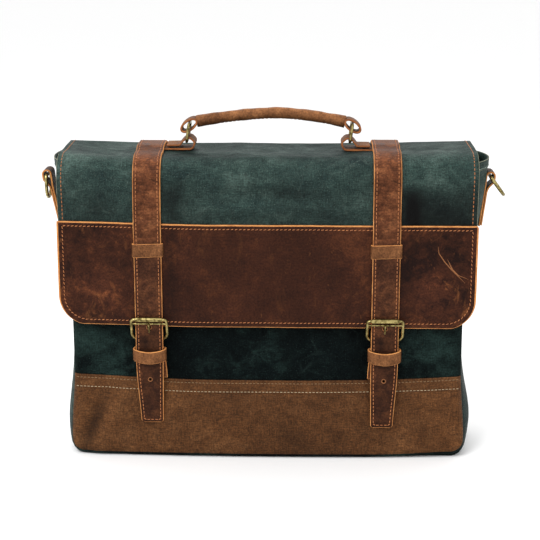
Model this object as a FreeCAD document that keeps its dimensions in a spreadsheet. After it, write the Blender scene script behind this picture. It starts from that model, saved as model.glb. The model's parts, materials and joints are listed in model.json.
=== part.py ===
"""Satchel bag with a folding flap, two buckled straps, a rolled handle and side D-rings.

Millimetres, +Z up. The origin is the centre of the base, on the surface the bag stands on.
+X runs along the bag's width to its right-hand side, and the front faces -Y.
"""
import FreeCAD, Part
import math
import os

import Sketcher
from FreeCAD import Placement, Rotation, Vector

# ---------------------------------------------------------------- driving dimensions
DIMENSIONS = {
    # the bag
    "bag_width": 388.0,         # seam to seam, across the front
    "bag_depth": 94.0,          # front panel's face to back panel's face
    "bag_height": 308.0,        # base to the top of the closed flap
    "panel_ply": 2.0,           # body canvas with its backing
    "base_ply": 1.2,            # waxed canvas overlay round the base
    "panel_corner": 18.0,       # lower corners of the front and back
    "rim_drop": 6.0,            # gusset's top edge below the flap's top
    "back_drop": 4.5,           # back panel's top edge below the flap's top
    "front_rise": 2.0,          # front panel's top edge above the centre of the flap's fold
    "gusset_trim": 20.0,        # radius that the gusset's front corner is cut to
    # gusset, how far it bows outside the side seam at five heights
    "bow_foot": 8.0,
    "bow_low": 9.0,
    "bow_waist": 1.0,
    "bow_high": 16.0,
    "bow_rim": 23.0,
    "low_level": 60.0,
    "waist_level": 150.0,
    "high_drop": 76.0,          # level of bow_high below the flap's top
    # inside
    "board_ply": 2.0,
    "board_gap": 1.0,           # base board above the base, and below the lining
    "board_inset": 8.0,
    "lining_wall": 0.8,
    "lining_inset": 2.5,        # lining's side wall inside the side seam
    "lining_gap": 0.8,          # lining clear of the front and back panels
    "lining_drop": 28.0,        # lining's rim below the flap's top
    "divider_ply": 6.0,
    "divider_setback": 23.0,    # divider's rear face ahead of the back panel's face
    "divider_inset": 9.0,
    "divider_drop": 58.0,
    "inner_gap": 0.4,           # loose pieces clear of the lining
    "pocket_ply": 1.0,
    "pocket_width": 170.0,
    "pocket_low": 62.0,
    "pocket_tall": 140.0,
    # flap
    "flap_overhang": 10.0,      # flap beyond the side seam
    "flap_low": 139.0,          # flap's lower edge above the base
    "flap_gap": 2.0,            # flap's lining in front of the front panel
    "flap_corner": 28.0,
    "lining_ply": 1.0,
    "canvas_ply": 1.5,
    "fold_radius": 24.0,        # outside of the canvas where the flap folds over the front
    "fold_angle": 44.8,         # each half of the fold, a hair under 45 degrees
    "rear_margin": 0.5,         # flap's sewn rear edge ahead of the back panel's face
    "band_ply": 2.0,
    "band_drop": 66.0,          # leather band's upper edge below the flap's top
    # straps
    "strap_width": 27.0,
    "strap_ply": 3.0,
    "strap_gap": 0.6,           # strap in front of the leather band
    "strap_spacing": 233.0,     # centre to centre
    "strap_rear": 7.0,          # strap's sewn rear end ahead of the back panel's face
    "tail_length": 110.5,       # buckle roller to the strap's tip
    "tail_taper": 3.0,          # narrowing of the tip, each side
    "tail_taper_length": 12.0,
    "spare_hole_drop": 62.5,    # spare hole below the buckle roller
    "spare_hole_radius": 1.5,
    "keeper_tall": 12.0,        # upper keeper, along the strap
    "keeper_drop": 19.0,        # upper keeper below the band's upper edge
    "keeper_ply": 2.0,
    "keeper_gap": 0.5,          # upper keeper clear of the strap
    # buckles
    "roller_rise": 8.5,         # roller's axis above the flap's lower edge
    "strap_break": 7.5,         # where the strap's end turns, above the roller's axis
    "wire_radius": 1.5,
    "running_gap": 0.08,        # radial clearance of everything that turns on the wire
    "roller_radius": 2.4,
    "roller_length": 26.0,
    "roller_gap": 0.2,          # roller clear of the strap
    "frame_side_gap": 4.0,      # strap's edge to the centre of the frame's side wire
    "frame_drop": 22.5,         # roller's axis to the lower bar's axis, vertically
    "frame_upper_corner": 3.0,
    "frame_lower_corner": 7.0,
    "rail_radius": 0.8,
    "rail_drop": 4.75,          # rail's axis from the roller's axis, along the frame
    "rail_lead": 0.5,           # rail in front of the frame's plane
    "prong_radius": 1.1,
    "prong_eye_radius": 2.7,
    "prong_width": 3.6,
    "prong_reach": 21.3,
    "prong_lean": 7.8,          # prong in front of the frame's plane, degrees
    "prong_slot_low": 21.2,     # ends of the prong's slot below the roller's axis
    "prong_slot_high": 7.2,
    "prong_slot_width": 4.0,
    # leather tab behind each strap's end
    "tab_ply": 3.2,
    "tab_lead": 0.5,            # tab's eye in front of the front panel
    "tab_eye_radius": 3.15,
    "tab_eye_bore": 1.7,
    "tab_eye_width": 20.0,
    "tab_slot_width": 5.4,
    "tab_edge": 1.0,            # tab wider than the strap, each side
    "tab_below_snap": 11.0,
    # lower keeper
    "loop_ply": 1.6,
    "loop_gap": 0.6,            # lower keeper clear of the tab
    "loop_drop": 42.5,          # lower keeper's lower edge below the roller's axis
    "loop_tall": 9.0,
    "loop_lead": 0.25,          # keeper's back in front of the front panel
    "loop_stand": 7.9,          # top of the keeper's arch in front of the strap
    "loop_arch": 6.0,
    # magnetic snap behind each strap's end
    "snap_drop": 52.5,          # snap's axis below the roller's axis
    "snap_radius": 7.0,
    "snap_ply": 1.3,
    "snap_gap": 0.15,           # stud plate clear of the socket
    "snap_bore": 2.9,
    "stud_radius": 2.0,
    "stud_length": 1.05,
    "snap_edge_gap": 1.0,       # socket's rim above the base overlay
    "washer_radius": 6.0,
    "washer_ply": 0.5,
    # handle
    "handle_y": 8.0,
    "anchor_out": 22.0,         # anchor's eye inside the strap's inner edge
    "anchor_width": 22.0,
    "anchor_ply": 2.4,
    "anchor_past": 8.0,         # anchor's tab past the strap's centre
    "eye_radius": 7.0,
    "anchor_bore": 4.6,
    "anchor_lift": 0.2,
    "handle_bore": 4.8,
    "handle_eye_width": 20.0,
    "ring_wire": 1.4,
    "ring_reach": 17.5,         # between the axes of the ring's two bars
    "ring_side_gap": 0.8,       # ring's side clear of the anchor's eye
    "ring_corner": 4.0,
    "ring_lean": 8.0,           # both rings lean to the right, degrees
    "grip_radius": 6.0,
    "grip_bore": 4.1,
    "core_radius": 4.0,
    "grip_rise": 11.0,          # grip's crown above its ends
    "grip_lift": 1.9,           # grip's ends above the rings' upper bars
    "grip_gap": 0.3,            # grip's ends clear of the handle's eyes
    # side D-rings
    "side_tab_width": 20.0,
    "side_tab_ply": 2.4,
    "side_tab_gap": 0.4,
    "side_loop_drop": 26.0,     # D-ring's pivot below the flap's top
    "side_loop_radius": 5.2,
    "side_loop_bore": 2.7,
    "d_wire": 1.7,
    "d_half_width": 13.3,       # to the wire's centre
    "d_reach": 23.6,            # pivot bar to the bow's bottom, wire centres
    "d_corner": 3.0,
    "d_right_swing": 37.0,      # right D-ring's swing away from hanging, degrees
}

RIGHT, LEFT = 1, -1
SIDES = {RIGHT: "right", LEFT: "left"}

doc = FreeCAD.newDocument("satchel_bag")
sheet = doc.addObject("Spreadsheet::Sheet", "d")
for row, (alias, number) in enumerate(DIMENSIONS.items(), start=1):
    sheet.set(f"A{row}", str(number))
    sheet.setAlias(f"A{row}", alias)
doc.recompute()

# ---------------------------------------------------------------- places, as expressions
HALF = "(d.bag_width / 2)"
BACK = "(d.bag_depth / 2)"
FRONT = "(-d.bag_depth / 2)"
FRONT_IN = f"({FRONT} + d.panel_ply)"
BACK_IN = f"({BACK} - d.panel_ply)"
TOP = "d.bag_height"

FLAP_HALF = f"({HALF} + d.flap_overhang)"
FLAP_FACE = f"({FRONT} - d.flap_gap - d.lining_ply - d.canvas_ply)"
BAND_FACE = f"({FLAP_FACE} - d.band_ply)"
STRAP_IN = f"({BAND_FACE} - d.strap_gap)"
STRAP_FACE = f"({STRAP_IN} - d.strap_ply)"
BAND_TOP = f"({TOP} - d.band_drop)"
FOLD_Y = f"({FLAP_FACE} + d.fold_radius)"
FOLD_Z = f"({TOP} - d.fold_radius)"
CANVAS_INNER = "(d.fold_radius - d.canvas_ply)"
LINING_INNER = f"({CANVAS_INNER} - d.lining_ply)"
STRAP_INNER = "(d.fold_radius + d.band_ply + d.strap_gap)"
STRAP_OUTER = f"({STRAP_INNER} + d.strap_ply)"
REAR = f"({BACK} - d.rear_margin)"

STRAP_X = "(d.strap_spacing / 2)"
STRAP_HALF = "(d.strap_width / 2)"
ROLLER_Z = "(d.flap_low + d.roller_rise)"
ROLLER_Y = f"({STRAP_FACE} - d.roller_gap - d.roller_radius)"
BREAK_Z = f"({ROLLER_Z} + d.strap_break)"
TIP_Z = f"({ROLLER_Z} - d.tail_length)"
BAR_Z = f"({ROLLER_Z} - d.frame_drop)"
BAR_Y = f"({FRONT} - d.tab_lead - d.tab_eye_radius)"
FRAME_LEAD = f"({BAR_Y} - {ROLLER_Y})"
FRAME_REACH = f"sqrt({FRAME_LEAD}^2 + d.frame_drop^2)"
FRAME_TILT = f"atan({FRAME_LEAD} / d.frame_drop)"
FRAME_HALF = f"({STRAP_HALF} + d.frame_side_gap)"
EYE_BORE = "(d.wire_radius + d.running_gap)"

TAB_BACK = f"({BAR_Y} + d.tab_ply / 2)"
TAB_FACE = f"({BAR_Y} - d.tab_ply / 2)"
TAB_HALF = f"({STRAP_HALF} + d.tab_edge)"
SNAP_Z = f"({ROLLER_Z} - d.snap_drop)"
SNAP_FACE = f"({FRONT} - d.snap_ply)"
BASE_TOP = f"({SNAP_Z} - d.snap_radius - d.snap_edge_gap)"

LINING_Y = f"({BACK_IN} - d.lining_gap)"
LINING_X = f"({HALF} - d.lining_inset)"
BOARD_TOP = "(d.panel_ply + d.board_gap + d.board_ply)"
LINING_LOW = f"({BOARD_TOP} + 0.2 * d.board_gap)"
LINING_FLOOR = f"({LINING_LOW} + d.lining_wall)"

HANDLE_X = f"({STRAP_X} - {STRAP_HALF} - d.anchor_out)"
ANCHOR_Z = f"({TOP} + d.eye_radius + d.anchor_lift)"
RING_SHIFT = "(d.ring_reach * sin(d.ring_lean))"
RING_TOP = f"({ANCHOR_Z} + d.ring_reach * cos(d.ring_lean))"
GRIP_HALF = f"({HANDLE_X} - d.eye_radius - d.grip_gap)"
GRIP_SWEEP = f"(({GRIP_HALF}^2 + d.grip_rise^2) / (2 * d.grip_rise))"
GRIP_CROWN = f"({RING_TOP} + d.grip_lift + d.grip_rise)"

GUSSET_FOOT = "d.panel_corner"
GUSSET_RIM = f"({TOP} - d.rim_drop)"
GUSSET_HIGH = f"({TOP} - d.high_drop)"
LOOP_Z = f"({TOP} - d.side_loop_drop)"
BOW_SLOPE = f"((d.bow_rim - d.bow_high) / ({GUSSET_RIM} - {GUSSET_HIGH}))"
BOW_AT_LOOP = f"(d.bow_high + {BOW_SLOPE} * ({LOOP_Z} - {GUSSET_HIGH}))"
TAB_FOOT_X = f"({HALF} + d.bow_high + d.side_tab_gap)"
TAB_HEAD_X = f"({HALF} + {BOW_AT_LOOP} + d.side_tab_gap)"
LOOP_X = f"({TAB_HEAD_X} + d.side_loop_radius)"

# ---------------------------------------------------------------- drawing helpers
NORMAL_SIGN = {"XY": 1, "XZ": -1, "YZ": 1}


def value(expression):
    """The number that an expression comes to."""
    return float(sheet.evalExpression(str(expression)))


def new_body(label):
    body = doc.addObject("PartDesign::Body", label)
    body.Label = label
    return body


def place(body, x="0", y="0", z="0", axis=Vector(0, 0, 1), angle="0"):
    """Puts a body at a place and turn bound to the sheet."""
    body.Placement = Placement(Vector(value(x), value(y), value(z)), Rotation(axis, value(angle)))
    for letter, expression in zip("xyz", (x, y, z)):
        body.setExpression(f"Placement.Base.{letter}", expression)
    if angle != "0":
        body.setExpression("Placement.Rotation.Angle", angle)
    return body


def new_sketch(body, plane, level="0"):
    """A sketch across the body, at a level along the axis that the plane leaves out."""
    sketch = body.newObject("Sketcher::SketchObject", f"{body.Label}_sketch")
    planes = [item for item in body.Origin.OriginFeatures if item.Role == f"{plane}_Plane"]
    sketch.AttachmentSupport = (planes[0], "")
    sketch.MapMode = "FlatFace"
    sketch.setExpression("AttachmentOffset.Base.z", f"{NORMAL_SIGN[plane]} * ({level})")
    return sketch


def bind(sketch, constraints):
    """Adds constraints given as (kind, geometry, point, expression)."""
    for kind, geometry, point, expression in constraints:
        number = value(expression)
        if point is None:
            index = sketch.addConstraint(Sketcher.Constraint(kind, geometry, number))
        else:
            index = sketch.addConstraint(Sketcher.Constraint(kind, geometry, point, number))
        sketch.setExpression(f"Constraints[{index}]", str(expression))


def arc_between(start, end, radius, turn):
    """The short arc from start to end. turn is 1 anticlockwise and -1 clockwise."""
    chord = end - start
    middle = (start + end) * 0.5
    rise = math.sqrt(max(radius ** 2 - (chord.Length / 2) ** 2, 0.0))
    left = Vector(-chord.y, chord.x, 0) * (1 / chord.Length)
    centre = middle + left * (rise * turn)
    first, last = (start, end) if turn > 0 else (end, start)
    angles = [math.atan2(spot.y - centre.y, spot.x - centre.x) for spot in (first, last)]
    return Part.ArcOfCircle(Part.Circle(centre, Vector(0, 0, 1), radius), *angles)


def draw_outline(sketch, corners):
    """A closed outline. A corner is (x, y), or (x, y, radius, turn) where an arc leaves it."""
    spots = [Vector(value(corner[0]), value(corner[1]), 0) for corner in corners]
    first = len(sketch.Geometry)
    ends = []
    for index, corner in enumerate(corners):
        start, end = spots[index], spots[(index + 1) % len(spots)]
        if len(corner) == 2:
            sketch.addGeometry(Part.LineSegment(start, end), False)
            ends.append((1, 2))
        else:
            sketch.addGeometry(arc_between(start, end, value(corner[2]), corner[3]), False)
            ends.append((1, 2) if corner[3] > 0 else (2, 1))
    for index in range(len(corners)):
        after = (index + 1) % len(corners)
        joined = (first + index, ends[index][1], first + after, ends[after][0])
        sketch.addConstraint(Sketcher.Constraint("Coincident", *joined))
    for index, corner in enumerate(corners):
        begin = ends[index][0]
        bind(sketch, [("DistanceX", first + index, begin, corner[0]),
                      ("DistanceY", first + index, begin, corner[1])])
        if len(corner) > 2:
            bind(sketch, [("Radius", first + index, None, corner[2])])


def draw_circle(sketch, x, y, radius):
    index = sketch.addGeometry(Part.Circle(Vector(value(x), value(y), 0), Vector(0, 0, 1), value(radius)))
    bind(sketch, [("DistanceX", index, 3, x), ("DistanceY", index, 3, y), ("Radius", index, None, radius)])


def rectangle(low_x, low_y, high_x, high_y):
    return [(low_x, low_y), (high_x, low_y), (high_x, high_y), (low_x, high_y)]


def pad(body, plane, low, high, corners=None, circles=()):
    """Adds material between two levels of the axis that the plane leaves out."""
    sketch = new_sketch(body, plane, high if plane == "XZ" else low)
    if corners:
        draw_outline(sketch, corners)
    for circle in circles:
        draw_circle(sketch, *circle)
    feature = body.newObject("PartDesign::Pad", f"{body.Label}_pad")
    feature.Profile = sketch
    feature.setExpression("Length", f"({high}) - ({low})")
    doc.recompute()
    return feature


def cut(body, plane, low, high, corners=None, circles=()):
    """Takes material away between two levels. The volume has to drop."""
    before = body.Shape.Volume
    sketch = new_sketch(body, plane, low if plane == "XZ" else high)
    if corners:
        draw_outline(sketch, corners)
    for circle in circles:
        draw_circle(sketch, *circle)
    feature = body.newObject("PartDesign::Pocket", f"{body.Label}_cut")
    feature.Profile = sketch
    feature.setExpression("Length", f"({high}) - ({low})")
    doc.recompute()
    if body.Shape.Volume >= before:
        raise RuntimeError(f"a cut in {body.Label} takes nothing away")
    return feature


def round_corners(body, feature, radius, chosen):
    """Rounds the feature's straight edges along Y or Z whose middle passes the test."""
    names = []
    for index, edge in enumerate(feature.Shape.Edges, start=1):
        middle = edge.CenterOfMass
        if edge.Curve.TypeId == "Part::GeomLine" and chosen(middle, edge.tangentAt(edge.FirstParameter)):
            names.append(f"Edge{index}")
    fillet = body.newObject("PartDesign::Fillet", f"{body.Label}_corners")
    fillet.Base = (feature, names)
    fillet.setExpression("Radius", radius)
    doc.recompute()
    return fillet


def round_lower_corners(body, feature, radius, level):
    """Rounds the two lower corners of an upright panel, seen from the front."""
    low = value(level)
    round_corners(body, feature, radius, lambda middle, way: abs(way.y) > 0.9 and abs(middle.z - low) < 0.01)


def wire_loop(body, plane, path, profile_plane, start, radius):
    """A closed wire of round section along a path, from a start on its first straight."""
    spine = new_sketch(body, plane)
    draw_outline(spine, path)
    section = new_sketch(body, profile_plane)
    draw_circle(section, start[0], start[1], radius)
    doc.recompute()
    pipe = body.newObject("PartDesign::AdditivePipe", f"{body.Label}_wire")
    pipe.Profile = section
    pipe.Spine = spine
    doc.recompute()
    return pipe


# ---------------------------------------------------------------- body of the bag
def upright_panel(label, low, high, half, level, top, radius):
    """A front or back sheet with rounded lower corners."""
    body = new_body(label)
    sheet_pad = pad(body, "XZ", low, high, rectangle(f"-{half}", level, half, top))
    round_lower_corners(body, sheet_pad, radius, level)
    return body


def make_bottom():
    """The strip under the bag, which turns up at both ends to meet the gussets."""
    inner = "(d.panel_corner - d.panel_ply)"
    straight = f"({HALF} - d.panel_corner)"
    inside = f"({HALF} - d.panel_ply)"
    outline = [(f"-{HALF}", GUSSET_FOOT, "d.panel_corner", 1), (f"-{straight}", "0"),
               (straight, "0", "d.panel_corner", 1), (HALF, GUSSET_FOOT),
               (inside, GUSSET_FOOT, inner, -1), (straight, "d.panel_ply"),
               (f"-{straight}", "d.panel_ply", inner, -1), (f"-{inside}", GUSSET_FOOT)]
    pad(new_body("bottom_panel"), "XZ", FRONT_IN, BACK_IN, outline)


def make_gusset(side):
    """A side sheet that pinches at its waist and flares at its rim."""
    body = new_body(f"gusset_{SIDES[side]}")
    levels = [(GUSSET_FOOT, "d.bow_foot"), ("d.low_level", "d.bow_low"),
              ("d.waist_level", "d.bow_waist"), (GUSSET_HIGH, "d.bow_high"), (GUSSET_RIM, "d.bow_rim")]
    sections = []
    for level, bow in levels:
        outer = f"(({BACK_IN}^2 + {bow}^2) / (2 * {bow}))"
        inner = f"({outer} - d.panel_ply)"
        outer_x = f"{side} * {HALF}"
        inner_x = f"{side} * ({HALF} + {bow} - {outer} + sqrt({inner}^2 - {BACK_IN}^2))"
        section = new_sketch(body, "XY", level)
        draw_outline(section, [(outer_x, FRONT_IN, outer, side), (outer_x, BACK_IN),
                               (inner_x, BACK_IN, inner, -side), (inner_x, FRONT_IN)])
        sections.append(section)
    doc.recompute()
    loft = body.newObject("PartDesign::AdditiveLoft", f"{body.Label}_loft")
    loft.Profile = sections[0]
    loft.Sections = sections[1:]
    loft.Ruled = True
    doc.recompute()
    beyond = f"({HALF} + d.bow_rim + d.panel_ply)"
    corner = [(f"{FOLD_Y} - d.gusset_trim", FOLD_Z, "d.gusset_trim", -1),
              (FOLD_Y, f"{FOLD_Z} + d.gusset_trim"), (FOLD_Y, f"{TOP} + d.gusset_trim"),
              (f"{FRONT} - d.gusset_trim", f"{TOP} + d.gusset_trim"), (f"{FRONT} - d.gusset_trim", FOLD_Z)]
    cut(body, "YZ", f"-{beyond}", beyond, corner)


def make_inside():
    """Base board, lining, padded laptop divider and slip pocket."""
    board = new_body("base_board")
    board_x = f"({HALF} - d.board_inset - d.panel_corner / 2)"
    board_y = f"({BACK_IN} - d.board_inset / 2)"
    board_low = "(d.panel_ply + d.board_gap)"
    pad(board, "XY", board_low, BOARD_TOP, rectangle(f"-{board_x}", f"-{board_y}", board_x, board_y))

    lining = new_body("lining")
    rim = f"({TOP} - d.lining_drop)"
    outer = pad(lining, "XY", LINING_LOW, rim, rectangle(f"-{LINING_X}", f"-{LINING_Y}", LINING_X, LINING_Y))
    foot = value(LINING_LOW)
    round_corners(lining, outer, "d.panel_corner",
                  lambda middle, way: abs(way.y) > 0.9 and abs(middle.z - foot) < 0.01)
    wall_x = f"({LINING_X} - d.lining_wall)"
    wall_y = f"({LINING_Y} - d.lining_wall)"
    turn = "(d.panel_corner - d.lining_wall)"
    hollow = [(f"-{wall_x}", rim), (f"-{wall_x}", f"{LINING_FLOOR} + {turn}", turn, 1),
              (f"-{wall_x} + {turn}", LINING_FLOOR), (f"{wall_x} - {turn}", LINING_FLOOR, turn, 1),
              (wall_x, f"{LINING_FLOOR} + {turn}"), (wall_x, rim)]
    cut(lining, "XZ", f"-{wall_y}", wall_y, hollow)

    divider_x = f"({wall_x} - d.divider_inset)"
    divider_back = f"({BACK} - d.divider_setback)"
    upright_panel("laptop_divider", f"({divider_back} - d.divider_ply)", divider_back, divider_x,
                  f"({LINING_FLOOR} + d.inner_gap)", f"({TOP} - d.divider_drop)", "d.divider_inset")

    pocket_low_y = f"(-{wall_y} + d.inner_gap)"
    upright_panel("slip_pocket", pocket_low_y, f"({pocket_low_y} + d.pocket_ply)", "(d.pocket_width / 2)",
                  "d.pocket_low", "(d.pocket_low + d.pocket_tall)", "d.divider_inset")


def make_body():
    front_top = f"({FOLD_Z} + d.front_rise)"
    back_top = f"({TOP} - d.back_drop)"
    corner = "d.panel_corner"
    upright_panel("front_panel", FRONT, FRONT_IN, HALF, "0", front_top, corner)
    upright_panel("back_panel", BACK_IN, BACK, HALF, "0", back_top, corner)
    upright_panel("front_base_panel", f"({FRONT} - d.base_ply)", FRONT, HALF, "0", BASE_TOP, corner)
    upright_panel("back_base_panel", BACK, f"({BACK} + d.base_ply)", HALF, "0", BASE_TOP, corner)
    make_bottom()
    for side in SIDES:
        make_gusset(side)
    make_inside()


# ---------------------------------------------------------------- flap
def folded_top(inner, outer, rear):
    """Side view of a sheet along the flap's top and round the upper half of its fold."""
    turn_y = [f"{FOLD_Y} - {radius} * sin(d.fold_angle)" for radius in (outer, inner)]
    turn_z = [f"{FOLD_Z} + {radius} * cos(d.fold_angle)" for radius in (outer, inner)]
    return [(rear, f"{FOLD_Z} + {inner}"), (rear, f"{FOLD_Z} + {outer}"),
            (FOLD_Y, f"{FOLD_Z} + {outer}", outer, 1), (turn_y[0], turn_z[0]),
            (turn_y[1], turn_z[1], inner, -1), (FOLD_Y, f"{FOLD_Z} + {inner}")]


def folded_front(inner, outer, low):
    """Side view of a sheet down the flap's front, from the lower half of its fold."""
    turn_y = [f"{FOLD_Y} - {radius} * cos(d.fold_angle)" for radius in (outer, inner)]
    turn_z = [f"{FOLD_Z} + {radius} * sin(d.fold_angle)" for radius in (outer, inner)]
    return [(turn_y[0], turn_z[0], outer, 1), (f"{FOLD_Y} - {outer}", FOLD_Z), (f"{FOLD_Y} - {outer}", low),
            (f"{FOLD_Y} - {inner}", low), (f"{FOLD_Y} - {inner}", FOLD_Z, inner, -1), (turn_y[1], turn_z[1])]


def make_flap():
    """Canvas and lining in two halves that meet in the fold, and the leather band."""
    plies = {"panel": (CANVAS_INNER, "d.fold_radius"), "lining": (LINING_INNER, CANVAS_INNER)}
    for name, (inner, outer) in plies.items():
        top = new_body(f"flap_top_{name}")
        pad(top, "YZ", f"-{FLAP_HALF}", FLAP_HALF, folded_top(inner, outer, REAR))
        front = new_body(f"flap_front_{name}")
        sheet_pad = pad(front, "YZ", f"-{FLAP_HALF}", FLAP_HALF, folded_front(inner, outer, "d.flap_low"))
        round_lower_corners(front, sheet_pad, "d.flap_corner", "d.flap_low")
    upright_panel("flap_band", BAND_FACE, FLAP_FACE, FLAP_HALF, "d.flap_low", BAND_TOP, "d.flap_corner")


# ---------------------------------------------------------------- straps, buckles, snaps
def put_on_strap(body, side):
    """Moves a piece drawn about X = 0 to its strap."""
    return place(body, x=f"{side} * {STRAP_X}")


def make_strap(side):
    """The strap over the flap: its top, its front, and its buckled end."""
    name = SIDES[side]
    rear = f"({BACK} - d.strap_rear)"
    top = new_body(f"strap_top_{name}")
    pad(top, "YZ", f"-{STRAP_HALF}", STRAP_HALF, folded_top(STRAP_INNER, STRAP_OUTER, rear))
    front = new_body(f"strap_front_{name}")
    pad(front, "YZ", f"-{STRAP_HALF}", STRAP_HALF, folded_front(STRAP_INNER, STRAP_OUTER, BREAK_Z))

    end = new_body(f"strap_end_{name}")
    tip_half = f"({STRAP_HALF} - d.tail_taper)"
    shoulder = f"({TIP_Z} + d.tail_taper_length)"
    outline = [(f"-{tip_half}", TIP_Z), (tip_half, TIP_Z), (STRAP_HALF, shoulder), (STRAP_HALF, BREAK_Z),
               (f"-{STRAP_HALF}", BREAK_Z), (f"-{STRAP_HALF}", shoulder)]
    pad(end, "XZ", STRAP_FACE, STRAP_IN, outline)
    slot_low = f"({ROLLER_Z} - d.prong_slot_low)"
    slot_high = f"({ROLLER_Z} - d.prong_slot_high)"
    slot_half = "(d.prong_slot_width / 2)"
    cut(end, "XZ", STRAP_FACE, STRAP_IN, rectangle(f"-{slot_half}", slot_low, slot_half, slot_high))
    spare = ("0", f"{ROLLER_Z} - d.spare_hole_drop", "d.spare_hole_radius")
    cut(end, "XZ", STRAP_FACE, STRAP_IN, circles=[spare])

    keeper = new_body(f"upper_keeper_{name}")
    keeper_top = f"({BAND_TOP} - d.keeper_drop)"
    inside = f"({STRAP_HALF} + d.keeper_gap)"
    outside = f"({inside} + d.keeper_ply)"
    inner_y = f"({STRAP_FACE} - d.keeper_gap / 2)"
    outer_y = f"({inner_y} - d.keeper_ply)"
    bridge = [(f"-{outside}", BAND_FACE), (f"-{outside}", outer_y), (outside, outer_y), (outside, BAND_FACE),
              (inside, BAND_FACE), (inside, inner_y), (f"-{inside}", inner_y), (f"-{inside}", BAND_FACE)]
    pad(keeper, "XY", f"({keeper_top} - d.keeper_tall)", keeper_top, bridge)
    for body in (top, front, end, keeper):
        put_on_strap(body, side)


def make_buckle(side):
    """Wire frame with a rail, a roller on its upper bar and a prong on its lower bar."""
    name = SIDES[side]
    lean = Vector(1, 0, 0)
    frame = new_body(f"buckle_frame_{name}")
    low, high = "d.frame_lower_corner", "d.frame_upper_corner"
    path = [("0", "0"), (f"{FRAME_HALF} - {low}", "0", low, 1), (FRAME_HALF, low),
            (FRAME_HALF, f"{FRAME_REACH} - {high}", high, 1), (f"{FRAME_HALF} - {high}", FRAME_REACH),
            (f"-{FRAME_HALF} + {high}", FRAME_REACH, high, 1), (f"-{FRAME_HALF}", f"{FRAME_REACH} - {high}"),
            (f"-{FRAME_HALF}", low, low, 1), (f"-{FRAME_HALF} + {low}", "0")]
    wire_loop(frame, "XZ", path, "YZ", ("0", "0"), "d.wire_radius")
    rail = ("-d.rail_lead", f"{FRAME_REACH} - d.rail_drop", "d.rail_radius")
    pad(frame, "YZ", f"-{FRAME_HALF}", FRAME_HALF, circles=[rail])
    place(frame, f"{side} * {STRAP_X}", BAR_Y, BAR_Z, lean, FRAME_TILT)

    roller = new_body(f"buckle_roller_{name}")
    axis = (ROLLER_Y, ROLLER_Z)
    pad(roller, "YZ", "-d.roller_length / 2", "d.roller_length / 2",
        circles=[(*axis, "d.roller_radius"), (*axis, EYE_BORE)])
    put_on_strap(roller, side)

    prong = new_body(f"buckle_prong_{name}")
    half = "(d.prong_width / 2)"
    pad(prong, "YZ", f"-{half}", half, circles=[("0", "0", "d.prong_eye_radius")])
    pad(prong, "XY", "0", "d.prong_reach", circles=[("0", "0", "d.prong_radius")])
    cut(prong, "YZ", f"-{half}", half, circles=[("0", "0", EYE_BORE)])
    place(prong, f"{side} * {STRAP_X}", BAR_Y, BAR_Z, lean, f"{FRAME_TILT} + d.prong_lean * 1 deg")


def make_tab(side):
    """Leather tab that wraps the buckle's lower bar and carries the snap's stud."""
    name = SIDES[side]
    tab = new_body(f"buckle_tab_{name}")
    low = f"({SNAP_Z} - d.tab_below_snap)"
    high = f"({BAR_Z} - d.tab_eye_bore - d.tab_lead)"
    pad(tab, "XZ", TAB_FACE, TAB_BACK, rectangle(f"-{TAB_HALF}", low, TAB_HALF, high))
    eye_half = "(d.tab_eye_width / 2)"
    pad(tab, "YZ", f"-{eye_half}", eye_half, circles=[(BAR_Y, BAR_Z, "d.tab_eye_radius")])
    cut(tab, "YZ", f"-{TAB_HALF}", TAB_HALF, circles=[(BAR_Y, BAR_Z, "d.tab_eye_bore")])
    slot = "(d.tab_slot_width / 2)"
    beyond = "(2 * d.tab_eye_radius)"
    cut(tab, "XZ", f"{BAR_Y} - {beyond}", f"{BAR_Y} + {beyond}",
        rectangle(f"-{slot}", f"{BAR_Z} - d.tab_eye_radius - d.tab_lead", slot, f"{BAR_Z} + {beyond}"))

    keeper = new_body(f"lower_keeper_{name}")
    inside = f"({TAB_HALF} + d.loop_gap)"
    outside = f"({inside} + d.loop_ply)"
    back = f"({FRONT} - d.loop_lead)"
    crown = f"({STRAP_FACE} - d.loop_stand)"
    outer = f"(({outside}^2 + d.loop_arch^2) / (2 * d.loop_arch))"
    inner = f"({outer} - d.loop_ply)"
    outer_y = f"({crown} + d.loop_arch)"
    inner_y = f"({crown} + {outer} - sqrt({inner}^2 - {inside}^2))"
    low = f"({ROLLER_Z} - d.loop_drop)"
    high = f"({low} + d.loop_tall)"
    pad(keeper, "XY", low, high, [(f"-{outside}", back), (f"-{outside}", outer_y, outer, 1),
                                  (outside, outer_y), (outside, back)])
    inner_back = f"({back} - d.loop_ply)"
    cut(keeper, "XY", low, high, [(f"-{inside}", inner_back), (f"-{inside}", inner_y, inner, 1),
                                  (inside, inner_y), (inside, inner_back)])
    for body in (tab, keeper):
        put_on_strap(body, side)


def make_snap(side):
    """Magnetic snap: a socket on the front panel and a stud on the strap's tab."""
    name = SIDES[side]
    socket = new_body(f"snap_socket_{name}")
    pad(socket, "XZ", SNAP_FACE, FRONT, circles=[("0", SNAP_Z, "d.snap_radius"), ("0", SNAP_Z, "d.snap_bore")])
    stud = new_body(f"snap_stud_{name}")
    plate = f"({SNAP_FACE} - d.snap_gap)"
    pad(stud, "XZ", TAB_BACK, plate, circles=[("0", SNAP_Z, "d.snap_radius")])
    pad(stud, "XZ", plate, f"({plate} + d.stud_length)", circles=[("0", SNAP_Z, "d.stud_radius")])
    for body in (socket, stud):
        put_on_strap(body, side)


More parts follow.
